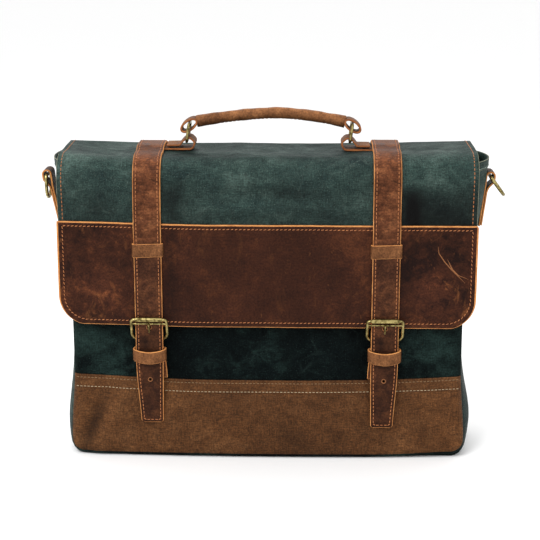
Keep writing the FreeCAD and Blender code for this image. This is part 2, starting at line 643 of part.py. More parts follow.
def make_washers():
    """Two backing discs inside the front panel, one behind each snap."""
    discs = []
    for side in SIDES:
        disc = doc.addObject("Part::Cylinder", f"washer_{SIDES[side]}")
        disc.setExpression("Radius", "d.washer_radius")
        disc.setExpression("Height", "d.washer_ply")
        disc.Placement = Placement(Vector(0, 0, 0), Rotation(Vector(1, 0, 0), -90))
        disc.setExpression("Placement.Base.x", f"{side} * {STRAP_X}")
        disc.setExpression("Placement.Base.y", FRONT_IN)
        disc.setExpression("Placement.Base.z", SNAP_Z)
        discs.append(disc)
    pair = doc.addObject("Part::Compound", "snap_washers")
    pair.Links = discs
    doc.recompute()
    return pair


# ---------------------------------------------------------------- handle
def make_anchor(side):
    """A leather eye on the flap's top, with its tab running out under the strap."""
    body = new_body(f"handle_anchor_{SIDES[side]}")
    half = "(d.anchor_width / 2)"
    reach = f"({STRAP_X} - {HANDLE_X} + d.anchor_past)"
    pad(body, "XZ", f"-{half}", half, circles=[("0", ANCHOR_Z, "d.eye_radius")])
    pad(body, "XZ", f"-{half}", half, rectangle("0", TOP, reach, f"{TOP} + d.anchor_ply"))
    cut(body, "XZ", f"-{half}", half, circles=[("0", ANCHOR_Z, "d.anchor_bore")])
    place(body, f"{side} * {HANDLE_X}", "d.handle_y", angle="0" if side == RIGHT else "180")


def make_ring(side):
    """A rectangular ring whose lower bar turns in the anchor's eye."""
    body = new_body(f"handle_ring_{SIDES[side]}")
    half = "(d.anchor_width / 2 + d.ring_side_gap + d.ring_wire)"
    bend, reach = "d.ring_corner", "d.ring_reach"
    path = [("0", "0"), (f"{half} - {bend}", "0", bend, 1), (half, bend),
            (half, f"{reach} - {bend}", bend, 1), (f"{half} - {bend}", reach),
            (f"-{half} + {bend}", reach, bend, 1), (f"-{half}", f"{reach} - {bend}"),
            (f"-{half}", bend, bend, 1), (f"-{half} + {bend}", "0")]
    wire_loop(body, "YZ", path, "XZ", ("0", "0"), "d.ring_wire")
    place(body, f"{side} * {HANDLE_X}", "d.handle_y", ANCHOR_Z, Vector(0, 1, 0), "d.ring_lean * 1 deg")


def make_grip(label, circles):
    """A bar of round section bent to the handle's curve."""
    body = new_body(label)
    sketch = new_sketch(body, "YZ")
    for radius in circles:
        draw_circle(sketch, "0", GRIP_CROWN, radius)
    hub = value(f"{GRIP_CROWN} - {GRIP_SWEEP}")
    line = sketch.addGeometry(Part.LineSegment(Vector(0, hub, 0), Vector(1, hub, 0)), True)
    bind(sketch, [("DistanceX", line, 1, "0"), ("DistanceY", line, 1, f"{GRIP_CROWN} - {GRIP_SWEEP}"),
                  ("DistanceX", line, 2, "1"), ("DistanceY", line, 2, f"{GRIP_CROWN} - {GRIP_SWEEP}")])
    turn = body.newObject("PartDesign::Revolution", f"{label}_turn")
    turn.Profile = sketch
    turn.ReferenceAxis = (sketch, ["Axis0"])
    turn.Midplane = True
    turn.setExpression("Angle", f"2 * asin({GRIP_HALF} / {GRIP_SWEEP})")
    doc.recompute()
    place(body, RING_SHIFT, "d.handle_y")


def make_handle():
    for side in SIDES:
        make_anchor(side)
        make_ring(side)
        loop = new_body(f"handle_loop_{SIDES[side]}")
        half = "(d.handle_eye_width / 2)"
        eye = ("0", RING_TOP)
        pad(loop, "XZ", f"-{half}", half, circles=[(*eye, "d.eye_radius"), (*eye, "d.handle_bore")])
        place(loop, f"{side} * {HANDLE_X} + {RING_SHIFT}", "d.handle_y")
    make_grip("handle_grip", ["d.grip_radius", "d.grip_bore"])
    make_grip("handle_core", ["d.core_radius"])


# ---------------------------------------------------------------- side D-rings
def make_side_ring(side, swing):
    """A leather tab on the gusset and the D-ring that hangs in its loop."""
    name = SIDES[side]
    turn = "0" if side == RIGHT else "180"
    tab = new_body(f"side_tab_{name}")
    half = "(d.side_tab_width / 2)"
    outline = [(TAB_FOOT_X, GUSSET_HIGH), (f"{TAB_FOOT_X} + d.side_tab_ply", GUSSET_HIGH),
               (f"{TAB_HEAD_X} + d.side_tab_ply", LOOP_Z), (TAB_HEAD_X, LOOP_Z)]
    pad(tab, "XZ", f"-{half}", half, outline)
    pad(tab, "XZ", f"-{half}", half, circles=[(LOOP_X, LOOP_Z, "d.side_loop_radius")])
    cut(tab, "XZ", f"-{half}", half, circles=[(LOOP_X, LOOP_Z, "d.side_loop_bore")])
    place(tab, angle=turn)

    ring = new_body(f"side_ring_{name}")
    wide, bend = "d.d_half_width", "d.d_corner"
    shoulder = f"(-d.d_reach + {wide})"
    path = [("0", "0"), (f"-{wide} + {bend}", "0", bend, 1), (f"-{wide}", f"-{bend}"),
            (f"-{wide}", shoulder, wide, 1), ("0", "-d.d_reach", wide, 1), (wide, shoulder),
            (wide, f"-{bend}", bend, 1), (f"{wide} - {bend}", "0")]
    wire_loop(ring, "YZ", path, "XZ", ("0", "0"), "d.d_wire")
    place(ring, f"{side} * {LOOP_X}", "0", LOOP_Z, Vector(0, 1, 0), swing)


# ---------------------------------------------------------------- build, check, write
def check_document():
    """Stops if any object failed or any sub-part has no valid solid."""
    for item in doc.Objects:
        faults = [state for state in item.State if state in ("Invalid", "Error")]
        if faults:
            raise RuntimeError(f"{item.Label} is {faults}")
    for item in sub_parts():
        shape = item.Shape
        if shape.isNull() or not shape.isValid() or shape.Volume <= 0:
            raise RuntimeError(f"{item.Label} has no valid solid")


def sub_parts():
    bodies = [item for item in doc.Objects if item.TypeId == "PartDesign::Body"]
    return bodies + [item for item in doc.Objects if item.TypeId == "Part::Compound"]


def write_parts():
    os.makedirs("parts", exist_ok=True)
    for item in sub_parts():
        item.Shape.exportStep(f"parts/{item.Label}.step")


make_body()
make_flap()
for strap_side in SIDES:
    make_strap(strap_side)
    make_buckle(strap_side)
    make_tab(strap_side)
    make_snap(strap_side)
make_washers()
make_handle()
make_side_ring(LEFT, "0")
make_side_ring(RIGHT, "-d.d_right_swing * 1 deg")
doc.recompute()
check_document()
write_parts()
print(len(sub_parts()), "sub-parts written")
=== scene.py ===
"""Looks of the satchel bag: waxed canvas, oiled leather, thread and antique brass round the CAD frame.

Shapes are worked out in millimetres in the frame's own axes and become metres when a mesh is made.
"""
import json
import math

import bmesh
import bpy
import numpy as np
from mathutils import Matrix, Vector


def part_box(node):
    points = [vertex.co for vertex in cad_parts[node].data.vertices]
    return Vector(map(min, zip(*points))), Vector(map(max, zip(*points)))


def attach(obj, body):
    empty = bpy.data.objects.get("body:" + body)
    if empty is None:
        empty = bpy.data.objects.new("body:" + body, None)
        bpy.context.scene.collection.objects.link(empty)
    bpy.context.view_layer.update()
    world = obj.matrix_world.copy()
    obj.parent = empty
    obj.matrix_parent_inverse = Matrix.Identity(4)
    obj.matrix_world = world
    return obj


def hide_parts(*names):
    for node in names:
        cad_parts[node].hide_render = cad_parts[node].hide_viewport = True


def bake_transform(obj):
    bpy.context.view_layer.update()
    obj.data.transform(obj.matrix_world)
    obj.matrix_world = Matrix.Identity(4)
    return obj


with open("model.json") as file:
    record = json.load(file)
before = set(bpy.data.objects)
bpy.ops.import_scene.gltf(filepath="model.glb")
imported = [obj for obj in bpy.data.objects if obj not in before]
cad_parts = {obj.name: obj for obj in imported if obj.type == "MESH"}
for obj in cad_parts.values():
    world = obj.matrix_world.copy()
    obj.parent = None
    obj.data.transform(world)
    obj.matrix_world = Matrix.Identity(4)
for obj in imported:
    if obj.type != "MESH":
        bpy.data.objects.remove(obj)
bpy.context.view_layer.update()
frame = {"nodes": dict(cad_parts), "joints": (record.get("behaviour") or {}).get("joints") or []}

MM = 0.001
SIDES = {"left": -1, "right": 1}


# ---------------------------------------------------------------- sizes read from the frame
def box_mm(node):
    low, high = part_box(node)
    return np.array(low) / MM, np.array(high) / MM


def joint_mm(name):
    found = [joint for joint in frame["joints"] if joint["name"] == name]
    return np.array(found[0]["pos_m"]) / MM


front_low, front_high = box_mm("front_panel")
back_high = box_mm("back_panel")[1]
flap_low, flap_high = box_mm("flap_front_panel")
top_high = box_mm("flap_top_panel")[1]
band_high = box_mm("flap_band")[1]
base_high = box_mm("front_base_panel")[1]
strap_low, strap_high = box_mm("strap_end_right")
gusset_high = box_mm("gusset_right")[1]

HALF = front_high[0]                    # side seam
FRONT = front_low[1]                    # face of the front panel
BACK = back_high[1]
RIM = gusset_high[2]                    # top edge of the gussets
BACK_TOP = back_high[2]
FRONT_TOP = front_high[2]
BASE_TOP = base_high[2]                 # top edge of the tan panel
FLAP_HALF = flap_high[0]
FLAP_FACE = flap_low[1]
FLAP_LOW = flap_low[2]
TOP = top_high[2]
BAND_TOP = band_high[2]
CANVAS_PLY = 1.5
LINING_PLY = 1.0
BAND_PLY = 2.0
STRAP_PLY = 3.2
STRAP_X = (strap_low[0] + strap_high[0]) / 2
STRAP_WIDTH = strap_high[0] - strap_low[0]
STRAP_TIP = strap_low[2]
FOLD_RADIUS = 24.0
PANEL_CORNER = 13.0
FLAP_CORNER = 28.0


# ---------------------------------------------------------------- small numeric tools
def smooth_step(x, low, high):
    t = np.clip((np.asarray(x, float) - low) / (high - low), 0, 1)
    return t * t * (3 - 2 * t)


def bump(x, centre, width):
    """A smooth hump one high."""
    return np.exp(-((np.asarray(x, float) - centre) / width) ** 2)


def ripple(u, v, seed, length, count=14):
    """Smooth unevenness of about one, from waves in all directions."""
    random = np.random.RandomState(seed)
    u, v = np.broadcast_arrays(np.asarray(u, float), np.asarray(v, float))
    total = np.zeros(u.shape)
    for _ in range(count):
        way = random.uniform(0, 2 * math.pi)
        phase = random.uniform(0, 2 * math.pi)
        wave = length * random.uniform(0.7, 1.6)
        total += np.sin((u * math.cos(way) + v * math.sin(way)) * 2 * math.pi / wave + phase)
    return total / math.sqrt(count)


class Route:
    """A flat path of straight runs joined by round corners, read by the distance along it."""

    def __init__(self, corners, radii, step=1.0):
        points = [np.array(corner, float) for corner in corners]
        radii = [0] + list(radii) + [0]
        path = [points[0]]
        for index in range(1, len(points) - 1):
            here = points[index]
            back = points[index - 1] - here
            on = points[index + 1] - here
            back /= np.linalg.norm(back)
            on /= np.linalg.norm(on)
            half = math.acos(np.clip(back @ on, -1, 1)) / 2
            if half > 1.565:
                path.append(here)
                continue
            radius = radii[index]
            centre = here + (back + on) / np.linalg.norm(back + on) * radius / math.sin(half)
            first = here + back * radius / math.tan(half)
            last = here + on * radius / math.tan(half)
            turn = math.pi - 2 * half
            count = max(4, int(radius * turn / step))
            a, b = first - centre, last - centre
            for share in np.linspace(0, 1, count + 1):
                mixed = (math.sin((1 - share) * turn) * a + math.sin(share * turn) * b) / math.sin(turn)
                path.append(centre + mixed)
        path.append(points[-1])
        dense = [path[0]]
        for before, after in zip(path, path[1:]):
            gap = np.linalg.norm(after - before)
            if gap < 1e-6:
                continue
            pieces = max(1, int(gap / step))
            dense += [before + (after - before) * (i + 1) / pieces for i in range(pieces)]
        self.points = np.array(dense)
        steps = np.linalg.norm(np.diff(self.points, axis=0), axis=1)
        self.distance = np.concatenate([[0], np.cumsum(steps)])
        self.length = self.distance[-1]
        tangent = np.gradient(self.points, self.distance, axis=0)
        tangent /= np.linalg.norm(tangent, axis=1)[:, None]
        self.normal = np.stack([tangent[:, 1], -tangent[:, 0]], axis=1)

    def at(self, along, off):
        """Point at a distance along the path, set off to its right-hand side."""
        along = np.asarray(along, float)
        found = [np.interp(along, self.distance, self.points[:, i]) for i in (0, 1)]
        side = [np.interp(along, self.distance, self.normal[:, i]) for i in (0, 1)]
        size = np.hypot(*side)
        return found[0] + side[0] / size * off, found[1] + side[1] / size * off

    def where(self, axis, number, last=False):
        """Distance along the path at which a coordinate first, or last, passes a number."""
        side = np.sign(self.points[:, axis] - number)
        hits = np.nonzero(np.diff(side) != 0)[0]
        index = hits[-1] if last else hits[0]
        a, b = self.points[index, axis], self.points[index + 1, axis]
        share = 0 if a == b else (number - a) / (b - a)
        return self.distance[index] + share * (self.distance[index + 1] - self.distance[index])


# ---------------------------------------------------------------- meshes
def new_piece(name, points, faces, materials, indices=None, cloth=None, smooth=True, tone=None):
    """A mesh object from points in millimetres, with cloth coordinates kept in metres."""
    mesh = bpy.data.meshes.new(name)
    mesh.from_pydata((np.asarray(points) * MM).tolist(), [], faces)
    for material in materials:
        mesh.materials.append(material)
    if indices is not None:
        mesh.polygons.foreach_set("material_index", np.asarray(indices, np.int32))
    mesh.polygons.foreach_set("use_smooth", [smooth] * len(mesh.polygons))
    cloth = points if cloth is None else cloth
    kept = mesh.attributes.new("cloth", "FLOAT_VECTOR", "POINT")
    kept.data.foreach_set("vector", (np.asarray(cloth, float) * MM).astype(np.float32).ravel())
    if tone is not None:
        shade = mesh.attributes.new("tone", "FLOAT", "POINT")
        shade.data.foreach_set("value", np.asarray(tone, np.float32))
    mesh.update()
    piece = bpy.data.objects.new(name, mesh)
    bpy.context.scene.collection.objects.link(piece)
    return piece


def bridge(rings, size, closed):
    """Quads between rings of points, and how far round the ring each one starts."""
    faces, starts = [], []
    last = rings if closed else rings - 1
    for ring in range(last):
        after = (ring + 1) % rings
        for index in range(size):
            near = (index + 1) % size
            faces.append((ring * size + index, ring * size + near, after * size + near, after * size + index))
            starts.append(index)
    return faces, starts


def slab(name, spot, rows, left, right, ply, materials, columns=40, rounding=0.5, closed=False, base=0.0,
         open_ends=(False, False), tone=None):
    """A sheet with rounded edges, which may be a loop.

    spot(u, v, t) gives the point u across, v along and t above the sheet's underside, and rows are
    the distances along. left and right give the sheet's edges at each row. The second material, if
    there is one, is for the cut edges. An open end is where the sheet carries on as another piece.
    """
    rows = np.asarray(rows, float)
    left = np.broadcast_to(np.asarray(left, float), rows.shape)
    right = np.broadcast_to(np.asarray(right, float), rows.shape)
    rounding = min(rounding, ply / 2)
    share = np.linspace(0, 1, columns + 1)
    plan = [(v, low, high, 0.0) for v, low, high in zip(rows, left, right)]
    way = np.sign(rows[-1] - rows[0])
    if not closed and not open_ends[0]:
        first = plan[0]
        plan = [(first[0], first[1] + rounding, first[2] - rounding, rounding),
                (first[0] + way * rounding, first[1], first[2], 0.0)] + plan[1:]
    if not closed and not open_ends[1]:
        last = plan[-1]
        plan = plan[:-1] + [(last[0] - way * rounding, last[1], last[2], 0.0),
                            (last[0], last[1] + rounding, last[2] - rounding, rounding)]
    points, cloth = [], []
    for v, low, high, pinch in plan:
        u = low + rounding + (high - low - 2 * rounding) * share
        ring_u = np.concatenate([u, [high, high], u[::-1], [low, low]])
        top, foot = base + ply - pinch, base + pinch
        edge = min(rounding, (top - foot) / 3)
        ring_t = np.concatenate([np.full(len(u), top), [top - edge, foot + edge],
                                 np.full(len(u), foot), [foot + edge, top - edge]])
        ring_v = np.full(ring_u.shape, v)
        points.append(np.stack(np.broadcast_arrays(*spot(ring_u, ring_v, ring_t)), axis=1))
        cloth.append(np.stack([ring_u, ring_v, ring_t], axis=1))
    size = len(points[0])
    faces, starts = bridge(len(points), size, closed)
    edge_starts = {columns, columns + 1, columns + 2, 2 * columns + 3, 2 * columns + 4, 2 * columns + 5}
    indices = [1 if start in edge_starts else 0 for start in starts]
    if not closed:
        rounded = [not is_open for is_open in open_ends]
        indices = [1 if (rounded[0] and face < size) or (rounded[1] and face >= len(faces) - size) else index
                   for face, index in enumerate(indices)]
        loop = list(range(size))
        end = (len(points) - 1) * size
        caps = [cap for cap, is_open in zip(((0, True), (end, False)), open_ends) if not is_open]
        for offset, flip in caps:
            for column in range(columns):
                quad = [loop[column], loop[column + 1],
                        loop[2 * columns + 2 - column], loop[2 * columns + 3 - column]]
                quad = [offset + index for index in quad]
                faces.append(tuple(quad[::-1] if flip else quad))
            for a, b, c, d in ((columns, columns + 1, columns + 2, columns + 3),
                               (2 * columns + 3, 2 * columns + 4, 2 * columns + 5, 0)):
                quad = [offset + index for index in (a, b, c, d)]
                faces.append(tuple(quad[::-1] if flip else quad))
        indices += [1] * (len(faces) - len(indices))
    if len(materials) < 2:
        indices = [0] * len(faces)
    cloth = np.concatenate(cloth)
    shade = None if tone is None else tone(cloth[:, 0], cloth[:, 1])
    piece = new_piece(name, np.concatenate(points), faces, materials, indices, cloth, tone=shade)
    fix_normals(piece)
    return piece


def fix_normals(piece):
    """Turns every face of a closed mesh outwards."""
    work = bmesh.new()
    work.from_mesh(piece.data)
    bmesh.ops.recalc_face_normals(work, faces=work.faces)
    work.to_mesh(piece.data)
    work.free()
    return piece


def tube(name, centres, radii, across, materials, sides=24, closed=False, tone=None):
    """A round or oval bar. radii gives its two half sizes at each centre: across, and square to it.

    tone, if there is one, gives a tone for each angle round the bar, starting from across.
    """
    centres = np.asarray(centres, float)
    across = np.asarray(across, float)
    if closed:
        tangent = np.roll(centres, -1, axis=0) - np.roll(centres, 1, axis=0)
    else:
        tangent = np.gradient(centres, axis=0)
    tangent /= np.linalg.norm(tangent, axis=1)[:, None]
    upward = np.cross(tangent, across)
    upward /= np.linalg.norm(upward, axis=1)[:, None]
    radii = np.broadcast_to(np.asarray(radii, float), (len(centres), 2))
    angle = np.linspace(0, 2 * math.pi, sides, endpoint=False)
    rings = centres[:, None] + radii[:, 0, None, None] * np.cos(angle)[None, :, None] * across + \
        radii[:, 1, None, None] * np.sin(angle)[None, :, None] * upward[:, None]
    faces, _ = bridge(len(centres), sides, closed)
    indices = [0] * len(faces)
    if not closed:
        faces.append(tuple(range(sides))[::-1])
        faces.append(tuple((len(centres) - 1) * sides + i for i in range(sides)))
        indices += [1 if len(materials) > 1 else 0] * 2
    along = np.concatenate([[0], np.cumsum(np.linalg.norm(np.diff(centres, axis=0), axis=1))])
    cloth = np.stack(np.broadcast_arrays(angle[None, :] * radii[:, 0, None], along[:, None],
                                         np.zeros((1, 1))), axis=2)
    shade = None if tone is None else np.tile(tone(angle), len(centres))
    piece = new_piece(name, rings.reshape(-1, 3), faces, materials, indices, cloth.reshape(-1, 3), tone=shade)
    return fix_normals(piece)


# ---------------------------------------------------------------- stitching
STITCH_PITCH = 4.0
STITCH_LENGTH = 2.9
STITCH_WIDTH = 0.8


def capsule(sides=6):
    """Rings of one stitch along +X, one long and one wide."""
    profile = [(-0.5, 0.0), (-0.46, 0.30), (-0.3, 0.46), (0.0, 0.5), (0.3, 0.46), (0.46, 0.30), (0.5, 0.0)]
    points = [(-0.5, 0.0, 0.0)]
    for x, r in profile[1:-1]:
        for index in range(sides):
            angle = 2 * math.pi * index / sides
            points.append((x, r * math.cos(angle), r * math.sin(angle)))
    points.append((0.5, 0.0, 0.0))
    faces = []
    for index in range(sides):
        near = (index + 1) % sides
        faces.append((0, 1 + near, 1 + index))
        for ring in range(len(profile) - 3):
            start = 1 + ring * sides
            faces.append((start + index, start + near, start + sides + near, start + sides + index))
        start = 1 + (len(profile) - 3) * sides
        faces.append((start + index, start + near, len(points) - 1))
    return np.array(points), faces


def seam(name, spot, line, height, material, pitch=STITCH_PITCH, length=STITCH_LENGTH, width=STITCH_WIDTH,
         slant=0.0):
    """A row of separate stitches along a line of (u, v) on a sheet."""
    line = np.asarray(line, float)
    fine = [line[0]]
    for a, b in zip(line, line[1:]):
        count = max(1, int(np.linalg.norm(b - a) / 0.5))
        fine += [a + (b - a) * (i + 1) / count for i in range(count)]
    fine = np.array(fine)
    u, v = fine[:, 0], fine[:, 1]
    places = np.stack(np.broadcast_arrays(*spot(u, v, np.full(len(fine), height))), axis=1)
    above = np.stack(np.broadcast_arrays(*spot(u, v, np.full(len(fine), height + 1.0))), axis=1)
    along = np.concatenate([[0], np.cumsum(np.linalg.norm(np.diff(places, axis=0), axis=1))])
    count = max(2, int(along[-1] / pitch))
    centres = (np.arange(count) + 0.5) * along[-1] / count
    shape, shape_faces = capsule()
    points, faces = [], []
    for centre in centres:
        ends = [np.array([np.interp(centre + half, along, places[:, i]) for i in range(3)])
                for half in (-length / 2, length / 2)]
        up = np.array([np.interp(centre, along, (above - places)[:, i]) for i in range(3)])
        ahead = ends[1] - ends[0]
        ahead /= np.linalg.norm(ahead)
        side = np.cross(up, ahead)
        side /= np.linalg.norm(side)
        ahead = ahead + side * slant
        ahead /= np.linalg.norm(ahead)
        side = np.cross(up, ahead)
        side /= np.linalg.norm(side)
        up = np.cross(ahead, side)
        middle = (ends[0] + ends[1]) / 2
        start = len(points) * len(shape)
        points.append(middle + shape[:, :1] * length * ahead + shape[:, 1:2] * width * side
                      + shape[:, 2:] * width * 0.8 * up)
        faces += [tuple(start + index for index in face) for face in shape_faces]
    return new_piece(name, np.concatenate(points), faces, [material])


# ---------------------------------------------------------------- materials
class Nodes:
    """Short calls for building one material's nodes."""

    def __init__(self, name):
        self.material = bpy.data.materials.new(name)
        self.material.use_nodes = True
        self.tree = self.material.node_tree
        self.shader = self.tree.nodes["Principled BSDF"]

    def add(self, kind, values=(), **settings):
        node = self.tree.nodes.new(f"ShaderNode{kind}")
        for key, setting in settings.items():
            setattr(node, key, setting)
        for key, given in dict(values).items():
            socket = node.inputs[key]
            if isinstance(given, bpy.types.NodeSocket):
                self.tree.links.new(given, socket)
            else:
                socket.default_value = given
        return node

    def cloth(self, stretch=(1, 1, 1)):
        """The sheet's own coordinates in metres: across, along and through."""
        read = self.add("Attribute", attribute_name="cloth")
        return self.add("Mapping", {"Vector": read.outputs["Vector"], "Scale": stretch}).outputs["Vector"]

    def noise(self, place, scale, detail=4.0, rough=0.55, distortion=0.0):
        made = self.add("TexNoise", {"Vector": place, "Scale": scale, "Detail": detail,
                                     "Roughness": rough, "Distortion": distortion})
        return made.outputs["Fac"]

    def ramp(self, factor, stops):
        made = self.add("ValToRGB", {"Fac": factor})
        ramp = made.color_ramp
        while len(ramp.elements) < len(stops):
            ramp.elements.new(0.5)
        for element, (place, colour) in zip(ramp.elements, stops):
            element.position = place
            element.color = (*colour, 1) if len(colour) == 3 else colour
        return made.outputs["Color"]

    def grey(self, factor, low, high, dark=0.0, light=1.0):
        """Stretches a factor between two limits into a range of plain numbers."""
        made = self.add("MapRange", {"Value": factor, "From Min": low, "From Max": high,
                                     "To Min": dark, "To Max": light})
        return made.outputs["Result"]

    def mix(self, factor, a, b, blend="MIX"):
        made = self.add("Mix", data_type="RGBA", blend_type=blend)
        for socket, given in ((made.inputs[0], factor), (made.inputs[6], a), (made.inputs[7], b)):
            if isinstance(given, bpy.types.NodeSocket):
                self.tree.links.new(given, socket)
            elif isinstance(given, (int, float)):
                socket.default_value = given
            else:
                socket.default_value = (*given, 1)
        return made.outputs[2]

    def maths(self, kind, a, b=0.0):
        made = self.add("Math", operation=kind)
        for socket, given in zip(made.inputs, (a, b)):
            if isinstance(given, bpy.types.NodeSocket):
                self.tree.links.new(given, socket)
            else:
                socket.default_value = given
        return made.outputs[0]

    def toned(self, colour):
        """Darkens or lightens a colour by the sheet's tone attribute, which holds painted shade, painted shadows and
        painted highlights, as well as tone that varies at random.
        """
        tone = self.add("Attribute", attribute_name="tone").outputs["Fac"]
        return self.mix(1.0, colour, self.grey(tone, -1, 1, 0.0, 2.0), "MULTIPLY")

    def link(self, output, socket):
        self.tree.links.new(output, self.shader.inputs[socket])

    def relief(self, height, strength, depth, under=None):
        values = {"Height": height, "Strength": strength, "Distance": depth}
        if under is not None:
            values["Normal"] = under
        return self.add("Bump", values).outputs["Normal"]

    def plain(self, **numbers):
        for socket, number in numbers.items():
            self.shader.inputs[socket.replace("_", " ")].default_value = number


def canvas_material(name, dark, middle, light, pale, end_highlight=0.0, specular=0.1):
    """Waxed cotton canvas: a plain weave with slubs, cloudy wax, pale creases and rubbed spots.

    end_highlight is how much paler the canvas gets towards its left and right ends, a painted highlight.
    """
    nodes = Nodes(name)
    place = nodes.cloth()
    clouds = nodes.noise(place, 13, 4, 0.6, 0.5)
    patches = nodes.noise(nodes.cloth((1, 1.4, 1)), 44, 6, 0.68, 0.8)
    both = nodes.maths("ADD", nodes.maths("MULTIPLY", clouds, 0.55), nodes.maths("MULTIPLY", patches, 0.45))
    # Painted highlight towards the canvas's left and right ends.
    if end_highlight:
        across = nodes.add("SeparateXYZ", {"Vector": place}).outputs["X"]
        ends = nodes.grey(nodes.maths("ABSOLUTE", across), 0.105, 0.165, 0.0, end_highlight)
        both = nodes.maths("ADD", both, ends)
    colour = nodes.ramp(both, [(0.37, dark), (0.51, middle), (0.67, light)])
    slub_u = nodes.noise(nodes.cloth((110, 1000, 1)), 1.0, 3, 0.65)
    slub_v = nodes.noise(nodes.cloth((1000, 110, 1)), 1.0, 3, 0.65)
    slubs = nodes.maths("MULTIPLY", nodes.maths("ADD", slub_u, slub_v), 0.5)
    colour = nodes.mix(1.0, colour, nodes.grey(slubs, 0.38, 0.62, 0.55, 1.5), "MULTIPLY")
    grain = nodes.noise(place, 620, 3, 0.7)
    colour = nodes.mix(1.0, colour, nodes.grey(grain, 0.34, 0.66, 0.6, 1.42), "MULTIPLY")
    specks = nodes.noise(place, 900, 1, 0.5)
    colour = nodes.mix(nodes.grey(specks, 0.62, 0.76, 0.0, 0.3), colour, pale)
    wander = nodes.noise(place, 26, 4, 0.6)
    bent = nodes.add("VectorMath", {0: place, 1: nodes.add("CombineXYZ", {
        "X": nodes.grey(wander, 0, 1, -0.02, 0.02), "Y": nodes.grey(wander, 0, 1, 0.016, -0.016)}).outputs[0]},
        operation="ADD").outputs[0]
    cells = nodes.add("TexVoronoi", {"Vector": bent, "Scale": 26.0}, feature="DISTANCE_TO_EDGE")
    creases = nodes.grey(cells.outputs["Distance"], 0.0, 0.04, 1.0, 0.0)
    shown = nodes.grey(nodes.noise(place, 34, 3), 0.50, 0.68, 0.0, 0.13)
    colour = nodes.mix(nodes.maths("MULTIPLY", creases, shown), colour, pale)
    rubbed = nodes.noise(place, 90, 8, 0.78, 1.4)
    colour = nodes.mix(nodes.grey(rubbed, 0.60, 0.74, 0.0, 0.36), colour, pale)
    nodes.link(nodes.toned(colour), "Base Color")
    nodes.link(nodes.grey(patches, 0.3, 0.7, 0.7, 0.52), "Roughness")
    weave = nodes.maths("ADD", nodes.maths("MULTIPLY", slubs, 1.6), grain)
    broad = nodes.relief(nodes.noise(place, 60, 5, 0.6, 0.6), 0.8, 0.003)
    ridged = nodes.relief(creases, 0.25, 0.0008, broad)
    nodes.link(nodes.relief(weave, 0.8, 0.0005, ridged), "Normal")
    nodes.plain(Specular_IOR_Level=specular)
    return nodes.material


def leather_material(name, dark, middle, light, worn, roughness=0.5, wrinkles=0.3, calm_middle=False):
    """Oiled pull-up leather: cloudy tone, paler where it has been bent or rubbed, fine grain."""
    nodes = Nodes(name)
    place = nodes.cloth()
    clouds = nodes.noise(place, 15, 5, 0.62, 0.6)
    fine = nodes.noise(place, 85, 6, 0.72, 0.7)
    both = nodes.maths("ADD", nodes.maths("MULTIPLY", clouds, 0.6), nodes.maths("MULTIPLY", fine, 0.4))
    if calm_middle:
        across = nodes.maths("ABSOLUTE", nodes.add("SeparateXYZ", {"Vector": place}).outputs["X"])
        swing = nodes.grey(across, 0.05, 0.16, 0.4, 1.05)
        both = nodes.maths("ADD", nodes.maths("MULTIPLY", nodes.maths("SUBTRACT", both, 0.49), swing), 0.48)
    colour = nodes.ramp(both, [(0.38, dark), (0.50, middle), (0.62, light)])
    grain = nodes.noise(place, 520, 4, 0.7)
    colour = nodes.mix(1.0, colour, nodes.grey(grain, 0.34, 0.66, 0.62, 1.42), "MULTIPLY")
    pulled = nodes.noise(nodes.cloth((1.0, 0.6, 1)), 30, 9, 0.74, 1.6)
    pull = nodes.grey(pulled, 0.57, 0.74, 0.0, 0.62)
    if calm_middle:
        pull = nodes.maths("MULTIPLY", pull, nodes.grey(across, 0.04, 0.15, 0.2, 1.0))
    colour = nodes.mix(pull, colour, worn)
    scuffs = nodes.noise(nodes.cloth((1.0, 0.3, 1)), 230, 5, 0.8, 2.2)
    colour = nodes.mix(nodes.grey(scuffs, 0.62, 0.78, 0.0, 0.7), colour, worn)
    # Painted shade and highlight along the fine wrinkles, following their bump.
    folds = nodes.noise(nodes.cloth((0.3, 1.7, 1)), 240, 4, 0.65, 1.4)
    fold_shade = nodes.grey(folds, 0.3, 0.7, 1 - wrinkles * 0.6, 1 + wrinkles * 0.6)
    colour = nodes.mix(1.0, colour, fold_shade, "MULTIPLY")
    nodes.link(nodes.toned(colour), "Base Color")
    nodes.link(nodes.grey(fine, 0.3, 0.7, roughness - 0.1, roughness + 0.12), "Roughness")
    pores = nodes.add("TexVoronoi", {"Vector": place, "Scale": 900.0}, feature="SMOOTH_F1")
    broad = nodes.relief(nodes.noise(place, 80, 6, 0.65, 0.5), 0.6, 0.002)
    wrinkled = nodes.relief(folds, wrinkles, 0.0012, broad)
    nodes.link(nodes.relief(pores.outputs["Distance"], 0.35, 0.0004, wrinkled), "Normal")
    nodes.plain(Specular_IOR_Level=0.07)
    return nodes.material


def edge_material(name, dark, light):
    """Cut leather edge: raw, fibrous and dry."""
    nodes = Nodes(name)
    fibres = nodes.noise(nodes.cloth((1, 0.3, 3)), 320, 5, 0.7)
    nodes.link(nodes.ramp(fibres, [(0.35, dark), (0.62, light)]), "Base Color")
    nodes.link(nodes.relief(fibres, 0.5, 0.0004), "Normal")
    nodes.plain(Roughness=0.8, Specular_IOR_Level=0.25)
    return nodes.material


def thread_material(name, dark, light):
    """Waxed thread, twisted."""
    nodes = Nodes(name)
    twist = nodes.noise(nodes.cloth(), 900, 3, 0.6)
    nodes.link(nodes.ramp(twist, [(0.35, dark), (0.62, light)]), "Base Color")
    nodes.link(nodes.relief(twist, 0.4, 0.0003), "Normal")
    nodes.plain(Roughness=0.55, Specular_IOR_Level=0.4)
    return nodes.material


